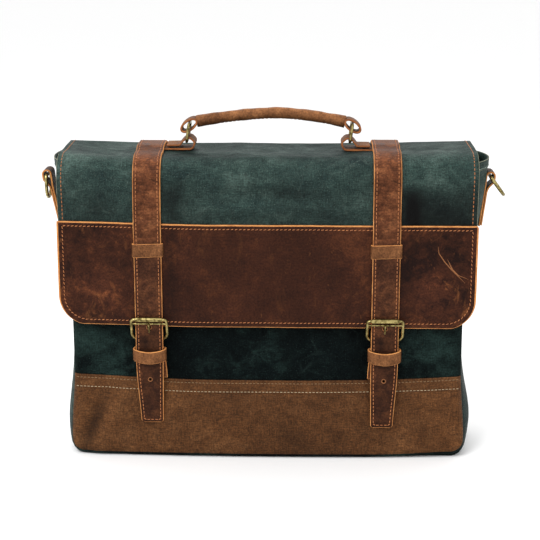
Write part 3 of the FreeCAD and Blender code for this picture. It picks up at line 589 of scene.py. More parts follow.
def cloth_material(name, dark, light):
    """Plain cotton cloth for the lining."""
    nodes = Nodes(name)
    place = nodes.cloth()
    tone = nodes.noise(place, 30, 5, 0.6)
    nodes.link(nodes.ramp(tone, [(0.2, dark), (0.8, light)]), "Base Color")
    threads = nodes.noise(nodes.cloth((900, 120, 1)), 1.2, 2)
    nodes.link(nodes.relief(threads, 0.4, 0.0003), "Normal")
    nodes.plain(Roughness=0.85, Specular_IOR_Level=0.2, Sheen_Weight=0.1)
    return nodes.material


def metal_material(name, dark, light, roughness):
    """Antique plated metal: tarnished dark and rubbed bright in patches."""
    nodes = Nodes(name)
    place = nodes.add("TexCoord").outputs["Object"]
    tarnish = nodes.noise(place, 260, 6, 0.65)
    colour = nodes.ramp(tarnish, [(0.38, dark), (0.6, light)])
    nodes.link(colour, "Base Color")
    nodes.link(nodes.grey(tarnish, 0.3, 0.7, roughness + 0.14, roughness - 0.06), "Roughness")
    nodes.link(nodes.relief(nodes.noise(place, 900, 4), 0.15, 0.0002), "Normal")
    nodes.plain(Metallic=1.0)
    return nodes.material


def srgb(red, green, blue):
    """Linear colour from the 0 to 255 values that a screen shows."""
    return tuple((c / 255 / 12.92) if c / 255 <= 0.04045 else ((c / 255 + 0.055) / 1.055) ** 2.4
                 for c in (red, green, blue))


GREEN = canvas_material("waxed_canvas_green", srgb(18, 31, 30), srgb(34, 49, 45), srgb(60, 76, 70),
                        srgb(112, 130, 120))
# A darker copy of the green canvas for the front panel: painted shade for the panel that lies under the flap, with a
# painted highlight towards its ends.
SHADED_GREEN = canvas_material("waxed_canvas_green_shaded", srgb(3, 6, 7), srgb(6, 12, 12), srgb(26, 40, 37),
                             srgb(60, 78, 73), 0.07, 0.03)
TAN = canvas_material("waxed_canvas_tan", srgb(58, 34, 15), srgb(74, 45, 22), srgb(93, 60, 33),
                      srgb(140, 102, 64), 0.02)
BAND = leather_material("leather_band", srgb(26, 11, 7), srgb(52, 26, 15), srgb(90, 50, 28),
                        srgb(142, 88, 48), 0.46, 0.2, calm_middle=True)
STRAP = leather_material("leather_strap", srgb(46, 24, 13), srgb(80, 45, 26), srgb(116, 72, 44),
                         srgb(164, 112, 70), 0.42, 0.6)
TAIL = leather_material("leather_tail", srgb(32, 15, 9), srgb(56, 31, 18), srgb(84, 50, 29),
                        srgb(136, 86, 50), 0.46, 0.4)
LIGHT_LEATHER = leather_material("leather_handle", srgb(70, 42, 24), srgb(104, 67, 40), srgb(134, 90, 56),
                                 srgb(170, 122, 80), 0.54, 0.3)
SCUFF = edge_material("leather_scuff", srgb(96, 58, 32), srgb(140, 90, 52))
LOOP_EDGE = edge_material("leather_loop_edge", srgb(92, 50, 26), srgb(162, 100, 54))
RAW_EDGE = edge_material("leather_edge", srgb(150, 88, 42), srgb(212, 148, 86))
CANVAS_EDGE = edge_material("canvas_edge", srgb(96, 98, 82), srgb(158, 154, 128))
ORANGE_THREAD = thread_material("thread_orange", srgb(128, 72, 36), srgb(178, 112, 62))
DULL_THREAD = thread_material("thread_dull", srgb(104, 78, 50), srgb(140, 112, 78))
IVORY_THREAD = thread_material("thread_ivory", srgb(140, 122, 94), srgb(188, 170, 138))
GREEN_THREAD = thread_material("thread_green", srgb(104, 122, 112), srgb(146, 158, 148))
LINING = cloth_material("lining_cotton", srgb(140, 124, 96), srgb(162, 146, 116))
BRASS = metal_material("antique_brass", srgb(78, 68, 36), srgb(176, 160, 104), 0.3)
STEEL = metal_material("plated_steel", srgb(100, 96, 86), srgb(170, 166, 156), 0.3)


# ---------------------------------------------------------------- body of the bag
def edge_depth(u, v):
    """Distance inside the outline of the front or back, which has round lower corners."""
    u = np.abs(np.asarray(u, float))
    v = np.asarray(v, float)
    side = HALF - u
    corner = PANEL_CORNER - np.hypot(np.maximum(u - (HALF - PANEL_CORNER), 0),
                                     np.maximum(PANEL_CORNER - v, 0))
    inside = np.where((u > HALF - PANEL_CORNER) & (v < PANEL_CORNER), corner, np.minimum(side, v))
    return np.maximum(inside, 0)


SEAM_ROUND = 5.0                        # how far the panels round back into the side seams


def seam_recess(u, v):
    depth = np.clip(edge_depth(u, v), 0, SEAM_ROUND)
    return SEAM_ROUND - np.sqrt(np.maximum(SEAM_ROUND ** 2 - (SEAM_ROUND - depth) ** 2, 0))


def front_out(u, v):
    """How far the front's face stands out from the seam plane at (u, v)."""
    share = np.clip(1 - (np.abs(u) / HALF) ** 2.2, 0, 1)
    belly = 8.5 * share * smooth_step(v, 100, 45) * (0.72 + 0.28 * smooth_step(v, 0, 30))
    left_fold = -3.6 * bump(dent_line(u, v), 0, 8) * bump(v, 34, 32)
    left_rise = 2.2 * bump(dent_line(u, v), 17, 12) * bump(v, 40, 30)
    right_fold = -1.8 * bump(u - 158 + 0.4 * (v - 40), 0, 12) * bump(v, 40, 30)
    uneven = 0.7 * ripple(u, v, 3, 120) * smooth_step(edge_depth(u, v), 0, 25)
    low_only = smooth_step(v, 96, 70)
    dents = (left_fold + left_rise + right_fold) * low_only
    return -seam_recess(u, v) + belly + dents + uneven * (0.3 + 0.7 * low_only)


def back_out(u, v):
    share = np.clip(1 - (np.abs(u) / HALF) ** 2.2, 0, 1)
    belly = 5.5 * share * smooth_step(v, 240, 60) * (0.5 + 0.5 * smooth_step(v, 0, 40))
    uneven = 0.9 * ripple(u, v, 5, 140) * smooth_step(edge_depth(u, v), 0, 30)
    return -seam_recess(u, v) + belly + uneven


def spread(z):
    """How much wider the full bag stands at a height."""
    return 1 + 0.024 * smooth_step(z, 95, 18)


def front_spot(u, v, t):
    lift = 2.4 * smooth_step(u, 110, 190) * smooth_step(v, 45, 0)
    return u * spread(v), FRONT - front_out(u, v) - t, v + lift


def tan_spot(u, v, t):
    """The tan panel on the front, which hangs lower in the middle."""
    sag = 5.4 * np.clip(1 - (np.asarray(u, float) / HALF) ** 2, 0, 1) * smooth_step(v, 45, BASE_TOP)
    return front_spot(u, v - sag, t)


def back_spot(u, v, t):
    return u * spread(v), BACK + back_out(u, v) + t, v


def outline_rows(low, high, radius, half, inset=0.0, step=4.0):
    """Rows up a panel with round lower corners, and the panel's half width at each."""
    angles = np.linspace(0, math.pi / 2, 12)
    turn = radius - inset
    corner = low + turn * (1 - np.cos(angles))
    straight = np.linspace(low + turn, high, max(3, int((high - low - turn) / step)))[1:]
    widths = np.concatenate([half - radius + turn * np.sin(angles), np.full(len(straight), half - inset)])
    return np.concatenate([corner, straight]), widths


LEFT_DENT = (-170, 0.32)                # where the dent at the lower left crosses z 40, and its slope


def dent_line(u, v):
    """Distance from the middle of the diagonal dent at the lower left."""
    return np.asarray(u, float) - LEFT_DENT[0] - LEFT_DENT[1] * (np.asarray(v, float) - 40)


# Tone of the tan panel: painted shade in the diagonal dent at the lower left, in the creases beside it and in the
# fold at the right, painted highlights on the ridges beside them, darker towards the bottom edge and lighter towards
# the right end.
def tan_tone(u, v):
    along = dent_line(u, v)
    dent = -0.66 * bump(along, 0, 7.5) * bump(v, 34, 30) + 0.2 * bump(along, 12, 7) * bump(v, 35, 30)
    second = -0.2 * bump(along, 27, 6) * bump(v, 62, 14) - 0.14 * bump(along, 44, 7) * bump(v, 52, 18)
    right = -0.25 * bump(u, 150 - 0.5 * (v - 40), 9) * bump(v, 36, 14)
    right = right + 0.12 * bump(u, 162, 16) * bump(v, 55, 18)
    foot = -0.25 * smooth_step(v, 12, 3)
    return dent + second + right + foot + 0.24 * smooth_step(u, 90, 190) - 0.05 + 0.06 * ripple(u, v, 21, 60)


# Tone of the front panel: painted shade at its top under the flap and band, and painted shade beside the straps,
# with tone that varies at random.
def front_tone(u, v):
    shade = -0.35 * smooth_step(v, 112, 140)
    beside_strap = -0.35 * bump(u, -96, 12) - 0.35 * bump(u, 96, 12)
    return shade + beside_strap + 0.12 * ripple(u, v, 22, 70)


def make_panels():
    rows, half = outline_rows(0.2, FRONT_TOP, PANEL_CORNER, HALF)
    # The front panel takes the darker copy of the green canvas, which is painted shade.
    front = slab("front_canvas", front_spot, rows, -half, half, 2.0, [SHADED_GREEN], 96, base=-2.0,
                 tone=front_tone)
    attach(front, "root")
    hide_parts("front_panel")
    rows, half = outline_rows(0.2, BACK_TOP, PANEL_CORNER, HALF)
    back = slab("back_canvas", back_spot, rows, -half, half, 2.0, [GREEN], 80, base=-2.0)
    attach(back, "root")
    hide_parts("back_panel")
    for name, spot, node in (("front", tan_spot, "front_base_panel"), ("back", back_spot, "back_base_panel")):
        rows, half = outline_rows(4.5, BASE_TOP, PANEL_CORNER, HALF, inset=0.15, step=3.0)
        ply = 1.1
        tan = slab(f"{name}_tan_canvas", spot, rows, -half, half, ply, [TAN], 110, 0.5, base=0.05,
                   tone=tan_tone if name == "front" else None)
        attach(tan, "root")
        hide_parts(node)
        for index, drop in enumerate((3.0, 12.5)):
            width = HALF - 2.5
            line = [(u, BASE_TOP - drop) for u in np.linspace(-width, width, 40)]
            thread = (DULL_THREAD, IVORY_THREAD)[index]
            row = seam(f"{name}_tan_stitches_{index}", spot, line, ply + 0.56, thread, 3.6, 2.5, 0.62)
            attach(row, "root")
        hem = slab(f"{name}_tan_hem", spot, np.linspace(BASE_TOP - 14.5, BASE_TOP + 0.3, 8), -HALF + 0.4, HALF - 0.4,
                   0.5, [TAN], 100, 0.25, base=ply)
        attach(hem, "root")


GUSSET_LEVELS = (RIM, RIM - 30, 232.0, 190.0, 150.0, 118.0, 80.0, 50.0, 28.0)
GUSSET_BOWS = {"left": (19.0, 17.5, 13.0, 7.0, 2.5, 2.5, 5.5, 8.5, 9.5),
               "right": (24.5, 22.0, 16.0, 8.5, 1.0, 0.3, 5.5, 10.5, 10.0)}
SEAM_Y = 43.0                           # the gusset's own seams, inside the rounded panels
SKIRT = Route([(-HALF, RIM), (-HALF, 0.0), (HALF, 0.0), (HALF, RIM)], [PANEL_CORNER, PANEL_CORNER])
# walking this way the outside of the bag is on the right, so its normal points outwards
CORNER_ARC = PANEL_CORNER * math.pi / 2


def skirt_bow(v):
    """Bow of the gussets at a distance along the skirt, from the left rim round to the right rim."""
    on_left = np.asarray(v, float) < SKIRT.length / 2
    v = np.minimum(np.asarray(v, float), SKIRT.length - np.asarray(v, float))
    along = [RIM - level for level in GUSSET_LEVELS] + [RIM - PANEL_CORNER + CORNER_ARC * 0.55,
                                                       RIM - PANEL_CORNER + CORNER_ARC, SKIRT.length]
    found = {}
    for name, levels in GUSSET_BOWS.items():
        bows = list(levels) + [4.0, 0.4, 0.0]
        soft = sum(np.interp(v + shift, along, bows) for shift in (-14, -7, 0, 7, 14)) / 5
        found[name] = np.where(v < 14, np.interp(v, along, bows), soft)
    return np.where(on_left, found["left"], found["right"])


def skirt_spot(u, v, t):
    """u is the way from front to back, v the distance along the skirt."""
    share = np.clip(1 - (np.asarray(u, float) / SEAM_Y) ** 2, 0, 1)
    level = RIM - np.minimum(v, SKIRT.length - v)
    upright = smooth_step(level, 10, 40)
    folds = 1.0 * ripple(u, v, 9, 70) * share * upright
    crease = -3.0 * bump(level, 150, 26) * bump(u, 0, 16) * upright
    x, z = SKIRT.at(v, skirt_bow(v) * share ** 0.75 + folds + crease + t)
    y = np.asarray(u, float)
    return x * spread(z), y, np.maximum(z, 0.05)


def skirt_tone(u, v):
    """The right gusset lies in the bag's own shade low down."""
    from_right = SKIRT.length - np.asarray(v, float)
    return -0.45 * smooth_step(from_right, RIM - 150, RIM - 90) * (from_right < SKIRT.length / 2)


def make_skirt():
    """Two gussets and the strip under the bag, all on one surface."""
    seam_at = RIM - PANEL_CORNER - 6.0
    cuts = {"gusset_left": (0.0, seam_at), "bottom_panel": (seam_at, SKIRT.length - seam_at),
            "gusset_right": (SKIRT.length - seam_at, SKIRT.length)}
    for node, (start, end) in cuts.items():
        rows = np.linspace(start, end, max(30, int((end - start) / 4)))
        strip = slab(f"{node}_canvas", skirt_spot, rows, -SEAM_Y, SEAM_Y, 1.6, [GREEN], 36, base=-1.6,
                     open_ends=(start > 0, end < SKIRT.length), tone=skirt_tone)
        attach(strip, "root")
        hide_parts(node)
    for side, hem_at in (("left", 0.0), ("right", SKIRT.length)):
        way = 1 if side == "left" else -1
        rows = np.linspace(hem_at, hem_at + way * 9.0, 6)
        hem = slab(f"gusset_hem_{side}", skirt_spot, rows, -SEAM_Y, SEAM_Y, 0.7, [GREEN, CANVAS_EDGE], 36, 0.3,
                   base=0.0)
        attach(hem, "root")
        line = [(u, hem_at + way * 7.5) for u in np.linspace(-SEAM_Y + 2, SEAM_Y - 2, 30)]
        row = seam(f"gusset_hem_stitches_{side}", skirt_spot, line, 0.8, GREEN_THREAD, width=0.7)
        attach(row, "root")


# ---------------------------------------------------------------- inside of the bag
def make_inside():
    """Lining, divider and pocket, seen when the flap is open."""
    low, high = box_mm("lining")
    gap = 1.2

    def tub(height, inset):
        """One level of the lining: straight front and back, ends that follow the gussets."""
        bow = np.interp(height, [20, 60, 118, 150, 232, 302], [1.0, 6.0, 0.8, -0.6, 12.0, 18.0])
        y_end = high[1] - inset
        x_end = high[0] - inset - 0.5
        angle = np.linspace(-1, 1, 15)
        end = np.stack([x_end + bow * (1 - angle ** 2), angle * y_end], axis=1)
        wall = np.linspace(-1, 1, 25)[1:-1]
        front = np.stack([wall * x_end, np.full(len(wall), -y_end)], axis=1)
        back = np.stack([-wall * x_end, np.full(len(wall), y_end)], axis=1)
        other = np.stack([-end[:, 0], -end[:, 1]], axis=1)
        ring = np.concatenate([front, end, back, other])
        return np.column_stack([ring, np.full(len(ring), height)])

    rim = high[2] + 2.0
    heights = np.linspace(low[2] + 8, rim, 40)
    rings = [tub(heights[0], gap + 8)]
    rings[0][:, 2] = low[2] + 0.6
    rings += [tub(height, gap) for height in heights]
    rings += [tub(height, gap + 0.8) for height in heights[::-1]]
    rings.append(tub(heights[0], gap + 9))
    rings[-1][:, 2] = low[2] + 1.4
    size = len(rings[0])
    points = np.concatenate(rings)
    faces, _ = bridge(len(rings), size, False)
    ends = [tuple(range(size))[::-1], tuple((len(rings) - 1) * size + i for i in range(size))]
    cloth = np.column_stack([points[:, 0] + points[:, 1], points[:, 2], points[:, 1]])
    lining = new_piece("lining_tub", points, faces + ends, [LINING], None, cloth)
    fix_normals(lining)
    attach(lining, "root")
    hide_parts("lining", "base_board")

    low, high = box_mm("laptop_divider")
    middle, thick = (low[1] + high[1]) / 2, high[1] - low[1]

    def divider_spot(u, v, t):
        edge = np.minimum(np.minimum(high[0] - np.abs(u), v - low[2]), high[2] - v)
        fill = 0.42 + 0.58 * smooth_step(edge, 0, 16)
        return u, middle + (t - thick / 2) * fill, v

    rows = np.linspace(low[2], high[2], 50)
    divider = slab("padded_divider", divider_spot, rows, low[0], high[0], thick, [LINING], 60, 1.2)
    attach(divider, "root")
    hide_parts("laptop_divider")
    line = [(low[0] + 8, low[2] + 6), (low[0] + 8, high[2] - 8), (high[0] - 8, high[2] - 8),
            (high[0] - 8, low[2] + 6)]
    row = seam("divider_stitches", divider_spot, line, 0.3, IVORY_THREAD, 5.0)
    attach(row, "root")

    low, high = box_mm("slip_pocket")

    def pocket_spot(u, v, t):
        slack = 1.2 * smooth_step(v, high[2] - 40, high[2]) * (1 - (u / high[0]) ** 2)
        return u, low[1] + slack + t, v

    rows = np.linspace(low[2], high[2], 30)
    pocket = slab("slip_pocket_cloth", pocket_spot, rows, low[0], high[0], 1.0, [LINING], 30, 0.3)
    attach(pocket, "root")
    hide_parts("slip_pocket")
    line = [(low[0] + 3, high[2] - 2), (low[0] + 3, low[2] + 3), (high[0] - 3, low[2] + 3),
            (high[0] - 3, high[2] - 2)]
    for name, places in (("sides", line), ("top", [(low[0] + 3, high[2] - 5), (high[0] - 3, high[2] - 5)])):
        row = seam(f"pocket_stitches_{name}", pocket_spot, places, 1.15, IVORY_THREAD)
        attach(row, "root")


# ---------------------------------------------------------------- flap
FLAP_BACK_LOW = 262.0                   # where the flap's canvas is sewn to the back
REAR_FACE = BACK + 2.0
REAR_RADIUS = 7.0                       # bend of the flap where it leaves the back
LINING_START = 58.0                     # the canvas is turned in over the lining as far as this
FLAP = Route([(REAR_FACE, FLAP_BACK_LOW), (REAR_FACE, TOP), (FLAP_FACE, TOP), (FLAP_FACE, FLAP_LOW)],
             [REAR_RADIUS, FOLD_RADIUS])
FLAP_END = FLAP.length
FLAP_MIDDLE = FLAP.where(0, 5.0)        # half way over the top, where the two halves meet
FOLD_END = FLAP_END - (TOP - FOLD_RADIUS - FLAP_LOW)
BAND_START = FLAP_END - (BAND_TOP - FLAP_LOW)


def flap_off(u, v):
    """Unevenness of the flap, shared by every layer on it."""
    over = smooth_step(v, FLAP_BACK_LOW - 230, 60) * (1 - smooth_step(v, FOLD_END - 30, FOLD_END + 25))
    share = np.asarray(u, float) / FLAP_HALF
    rise = (-3.0 + 2.9 * np.clip(-share, 0, 1) ** 2 + 5.4 * np.clip(share, 0, 1) ** 1.6) * over
    front = smooth_step(v, FOLD_END - 10, FOLD_END + 50)
    uneven = 0.9 * ripple(u, v, 11, 110) + 0.35 * ripple(u, v, 12, 38)
    calm = 1 - 0.6 * smooth_step(v, BAND_START - 10, BAND_START + 20)
    calm = calm * (1 - 0.95 * bump(v, FOLD_END - 19, 15))
    curl = -1.4 * front * smooth_step(np.abs(u), FLAP_HALF - 40, FLAP_HALF) ** 2
    above = BAND_START - np.asarray(v, float)
    folds = 2.0 * bump(above, 16 + 0.05 * u, 8) * bump(u, -15, 62)
    folds -= 1.8 * bump(above, 30 - 0.06 * u, 9) * bump(u, 10, 75)
    folds += 1.5 * bump(above - 0.3 * u, 62, 12) * bump(u, 62, 45)
    folds -= 1.6 * bump(above + 0.5 * u, -8, 11) * bump(u, -88, 36)
    folds += 1.4 * bump(above, 44 + 0.25 * (u + 160), 10) * bump(u, -170, 30)
    hang = smooth_step(v, FOLD_END - 12, FOLD_END + 8)
    return rise + uneven * calm * smooth_step(v, 30, 70) + curl * 0.6 + folds * hang


# Tone of the flap: painted shadow beside each strap, painted shade over its right-hand part, a painted highlight
# along the top of the fold, painted shade and highlight on the soft folds above the band, darker towards the band,
# and tone that varies at random.
def flap_tone(u, v):
    low = -0.3 * smooth_step(v, BAND_START - 45, BAND_START - 4)
    beside = sum(-0.42 * bump(u, centre * STRAP_X + 24, 11) * smooth_step(v, FOLD_END - 5, FOLD_END + 12)
                 for centre in SIDES.values())
    fold = 0.22 * bump(v, FOLD_END - 20, 13)
    right = -0.42 * smooth_step(u, 105, 140) * smooth_step(v, FOLD_END - 5, FOLD_END + 15)
    above = BAND_START - np.asarray(v, float)
    folds = 0.3 * bump(above, 20 + 0.05 * u, 6) * bump(u, -15, 62)
    folds = folds - 0.3 * bump(above, 33 - 0.06 * u, 7) * bump(u, 10, 75)
    return low + beside + fold + right + folds + 0.08 * ripple(u, v, 23, 60)


# Tone of the band: painted shadow beside the right-hand edge of each strap, paler patches near both ends, and tone
# that varies at random.
def band_tone(u, v):
    beside = sum(-0.35 * bump(u, centre * STRAP_X + 21, 9) for centre in SIDES.values())
    left_patch = 0.5 * bump(u, -168, 26) * bump(v, FLAP_END - 38, 26)
    right_patch = 0.75 * bump(u, 160, 30) * bump(v, FLAP_END - 36, 26)
    return beside + (left_patch + right_patch) - 0.1 + 0.08 * ripple(u, v, 24, 50)


def flap_spot(u, v, t):
    y, z = FLAP.at(v, flap_off(u, v) + t)
    short = 2.6 * smooth_step(-np.asarray(u, float), 40, 200) * smooth_step(v, FOLD_END, BAND_START)
    return u, y, z + short


def corner_rows(start, end, radius, half, step=3.5):
    """Rows down a sheet whose far end has round corners, and its half width at each.

    The rows lie closer together where the sheet bends over the front rim.
    """
    angles = np.linspace(0, math.pi / 2, 14)
    bend_end = max(start, FOLD_END + 12)
    straight = np.concatenate([np.arange(start, bend_end, 1.2), np.arange(bend_end, end - radius, step)])
    rows = np.concatenate([straight, end - radius + radius * np.sin(angles)])
    widths = np.concatenate([np.full(len(straight), half), half - radius + radius * np.cos(angles)])
    return rows, widths


STRAP_REAR_GAP = 3.0                    # the straps start this far past their solids' rear end
TIP_LENGTH = {"left": -1.5, "right": 2.5}


def bend_over(piece):
    """Bakes a piece's placement into its mesh, without bending it.
    """
    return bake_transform(piece)


def bend_rear(piece):
    """Bakes the placement of a piece that lies where the flap leaves the back panel."""
    return bend_over(piece)


def bend_fold(piece):
    """Bakes the placement of a piece that lies where the flap goes over the front rim."""
    return bend_over(piece)


def make_flap():
    layers = {"canvas": (-CANVAS_PLY, CANVAS_PLY, [GREEN, CANVAS_EDGE], "panel", "green_canvas", 0.0),
              "lining": (-CANVAS_PLY - LINING_PLY, LINING_PLY, [LINING, CANVAS_EDGE], "lining", "lining_cloth", 0.6)}
    for name, (base, ply, materials, node, material_slot, inset) in layers.items():
        rows = np.linspace(0 if name == "canvas" else LINING_START, FLAP_MIDDLE, 70)
        rear = slab(f"flap_{name}_rear", flap_spot, rows, -FLAP_HALF + inset, FLAP_HALF - inset, ply, materials, 96,
                    0.3, base=base, open_ends=(False, True), tone=flap_tone)
        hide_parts(f"flap_top_{node}")
        bend_rear(rear)
        rows, half = corner_rows(FLAP_MIDDLE, FLAP_END - inset, FLAP_CORNER, FLAP_HALF - inset)
        front = slab(f"flap_{name}_front", flap_spot, rows, -half, half, ply, materials, 96, 0.3, base=base,
                     open_ends=(True, False), tone=flap_tone)
        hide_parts(f"flap_front_{node}")
        bend_fold(front)
    for name, way in SIDES.items():
        edge = way * (FLAP_HALF - 4.5)
        rear = seam(f"flap_rear_stitches_{name}", flap_spot, [(edge, 44), (edge, FLAP_MIDDLE)], 0.15,
                    ORANGE_THREAD)
        bend_rear(rear)
        front = seam(f"flap_fold_stitches_{name}", flap_spot, [(edge, FLAP_MIDDLE), (edge, BAND_START - 1)],
                     0.15, ORANGE_THREAD)
        bend_fold(front)
    for name, (low, high) in {"back": (4.0, 4.0), "back_upper": (34.0, 34.0)}.items():
        row = seam(f"flap_{name}_stitches", flap_spot, [(-FLAP_HALF + 4, low), (FLAP_HALF - 4, high)], 0.15,
                   ORANGE_THREAD)
        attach(row, "root")


def band_outline(inset):
    """Closed line round the band, a distance in from the flap's edges."""
    angles = np.linspace(0, math.pi / 2, 10)
    turn = FLAP_CORNER - inset
    side = FLAP_HALF - inset
    bottom = FLAP_END - inset
    right = [(side - turn + turn * math.cos(a), bottom - turn + turn * math.sin(a)) for a in angles]
    left = [(-u, v) for u, v in right[::-1]]
    top = BAND_START + max(inset, 0.4)
    return [(-side, top), (side, top)] + right + left + [(-side, top)]


def make_band():
    """Leather band over the flap's lower front, stitched all round."""
    rows, half = corner_rows(BAND_START, FLAP_END + 1.0, FLAP_CORNER, FLAP_HALF + 0.8)
    band = slab("leather_band", flap_spot, rows, -half, half, BAND_PLY, [BAND, RAW_EDGE], 110, 1.0, base=0.02,
                tone=band_tone)
    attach(band, "flap_front")
    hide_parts("flap_band")
    edge = np.array(band_outline(-0.8))
    gaps = np.concatenate([[0], np.cumsum(np.hypot(*np.diff(edge, axis=0).T))])
    along = np.linspace(0, gaps[-1], 420)[:-1]
    u, v = (np.interp(along, gaps, edge[:, i]) for i in (0, 1))
    centres = np.column_stack(flap_spot(u, v, np.full(len(u), BAND_PLY - 0.75)))
    raw = tube("band_raw_edge", centres, (0.75, 0.75), (0, -1, 0), [RAW_EDGE], 8, closed=True)
    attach(raw, "flap_front")
    row = seam("band_stitches", flap_spot, band_outline(4.2), BAND_PLY + 0.12, ORANGE_THREAD, slant=0.25)
    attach(row, "flap_front")
    make_scratches()


def make_scratches():
    """Two long rubbed scratches near the band's right-hand end."""
    start = BAND_START
    marks = {"long": [(166.5, 20), (167.5, 27), (173, 35), (180, 43), (187, 50), (194, 57)],
             "short": [(176, 33), (178.5, 38), (181, 43), (187, 49), (197, 53)]}
    for name, places in marks.items():
        places = np.array(places, float)
        along = np.linspace(0, len(places) - 1, 40)
        u = np.interp(along, range(len(places)), places[:, 0])
        v = np.interp(along, range(len(places)), places[:, 1]) + start
        width = 0.55 * np.sin(np.linspace(0.06, 0.98, 40) * math.pi) + 0.1
        x, y, z = flap_spot(u, v, np.full(40, BAND_PLY - 0.12))
        centres = np.column_stack([x, y, z])
        radii = np.column_stack([np.full(40, 0.28), width])
        mark = tube(f"band_scratch_{name}", centres, radii, (0, -1, 0), [SCUFF], 8)
        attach(mark, "flap_front")


# ---------------------------------------------------------------- straps
KEEPER_LOW, KEEPER_HIGH = (box_mm("upper_keeper_right")[i][2] for i in (0, 1))
ANCHOR_Y = 8.0
LEAN = {"left": 0.012, "right": -0.012}  # how far each tail leans to its side, per millimetre of drop


def strap_rise(v):
    """Height of the strap's underside over the canvas: over the anchor's tab, then over the band."""
    y, _ = FLAP.at(v, 0)
    over_anchor = 3.2 * smooth_step(y, ANCHOR_Y - 24, ANCHOR_Y - 12)
    over_anchor = over_anchor * smooth_step(y, ANCHOR_Y + 26, ANCHOR_Y + 14)
    on_front = smooth_step(v, BAND_START - 7, BAND_START + 1)
    return 0.15 + np.where(np.asarray(v) < FOLD_END, over_anchor, 0) + BAND_PLY * on_front


def strap_spot_for(name):
    """The strap's surface on the flap: u from its own centre line."""
    centre = SIDES[name] * STRAP_X

    def spot(u, v, t):
        base = flap_off(np.full(np.shape(u), centre), v)
        y, z = FLAP.at(v, base + strap_rise(v) + t)
        return centre + u, y, z
    return spot


END_TOP = (KEEPER_LOW + KEEPER_HIGH) / 2


def end_spot_for(name):
    """The strap from under the upper keeper down to its tip, v being the distance below END_TOP."""
    way = SIDES[name]
    centre = way * STRAP_X

    def spot(u, v, t):
        z = END_TOP - np.asarray(v, float)
        flap_v = FLAP_END - (z - FLAP_LOW)
        on_flap = flap_off(np.full(np.shape(z), centre), np.minimum(flap_v, FLAP_END)) + BAND_PLY + 0.15
        face = FLAP_FACE - on_flap * smooth_step(z, 146, 165) - 2.3 * (1 - smooth_step(z, 146, 165))
        hang = 1.6 * bump(z, 88, 22) - 0.9 * bump(z, 128, 8) - 1.2 * smooth_step(z, 66, 37)
        lean = np.maximum(112 - z, 0) * LEAN[name]
        cup = 0.5 * (np.asarray(u, float) / 13.5) ** 2 * smooth_step(z, 110, 60)
        return centre + u + lean, face - t - hang - cup, z
    return spot


def punched(name, piece, spot, v, radius, depth):
    """Cuts a round hole through a strap and lines it with a worn rim."""
    x, y, z = (float(np.ravel(c)[0]) for c in spot(np.zeros(1), np.full(1, v), np.full(1, depth)))
    bpy.ops.mesh.primitive_cylinder_add(vertices=20, radius=radius * MM, depth=14 * MM,
                                        location=(x * MM, y * MM, z * MM),
                                        rotation=(math.pi / 2, 0, 0))
    cutter = bpy.context.object
    hole = piece.modifiers.new("hole", "BOOLEAN")
    hole.object = cutter
    hole.operation = "DIFFERENCE"
    bpy.context.view_layer.update()
    settled = bpy.data.meshes.new_from_object(piece.evaluated_get(bpy.context.evaluated_depsgraph_get()))
    piece.modifiers.clear()
    piece.data = settled
    bpy.data.objects.remove(cutter)
    angle = np.linspace(0, 2 * math.pi, 24, endpoint=False)
    ring = np.column_stack([x + (radius + 0.5) * np.cos(angle), np.full(24, y - 0.02),
                            z + (radius + 0.5) * np.sin(angle)])
    tangent_across = (0, -1, 0)
    rim = tube(name, ring, (0.2, 0.5), tangent_across, [SCUFF], 8, closed=True)
    return rim


def bend_lift(piece):
    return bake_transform(piece)


def strap_tone(u, v):
    """A painted highlight where the strap bends over the fold, darker on the band, with painted shade and highlight
    in fine creases across it.
    """
    fold = 0.5 * bump(v, FOLD_END - 22, 15)
    low = -0.28 * smooth_step(v, BAND_START - 5, BAND_START + 30)
    creases = 0.13 * ripple(u * 0.25, v, 31, 7.0) * smooth_step(v, FOLD_END - 20, FOLD_END + 20)
    return fold + low + creases


def tail_tone(u, v):
    """Warmer above the buckle, dark in the buckle's shade."""
    upper = 0.3 * smooth_step(v, END_TOP - 138, END_TOP - 160)
    shade = -0.35 * bump(v, END_TOP - 121, 8)
    return upper + shade - 0.1 + 0.12 * ripple(u * 0.4, v, 32, 11.0)


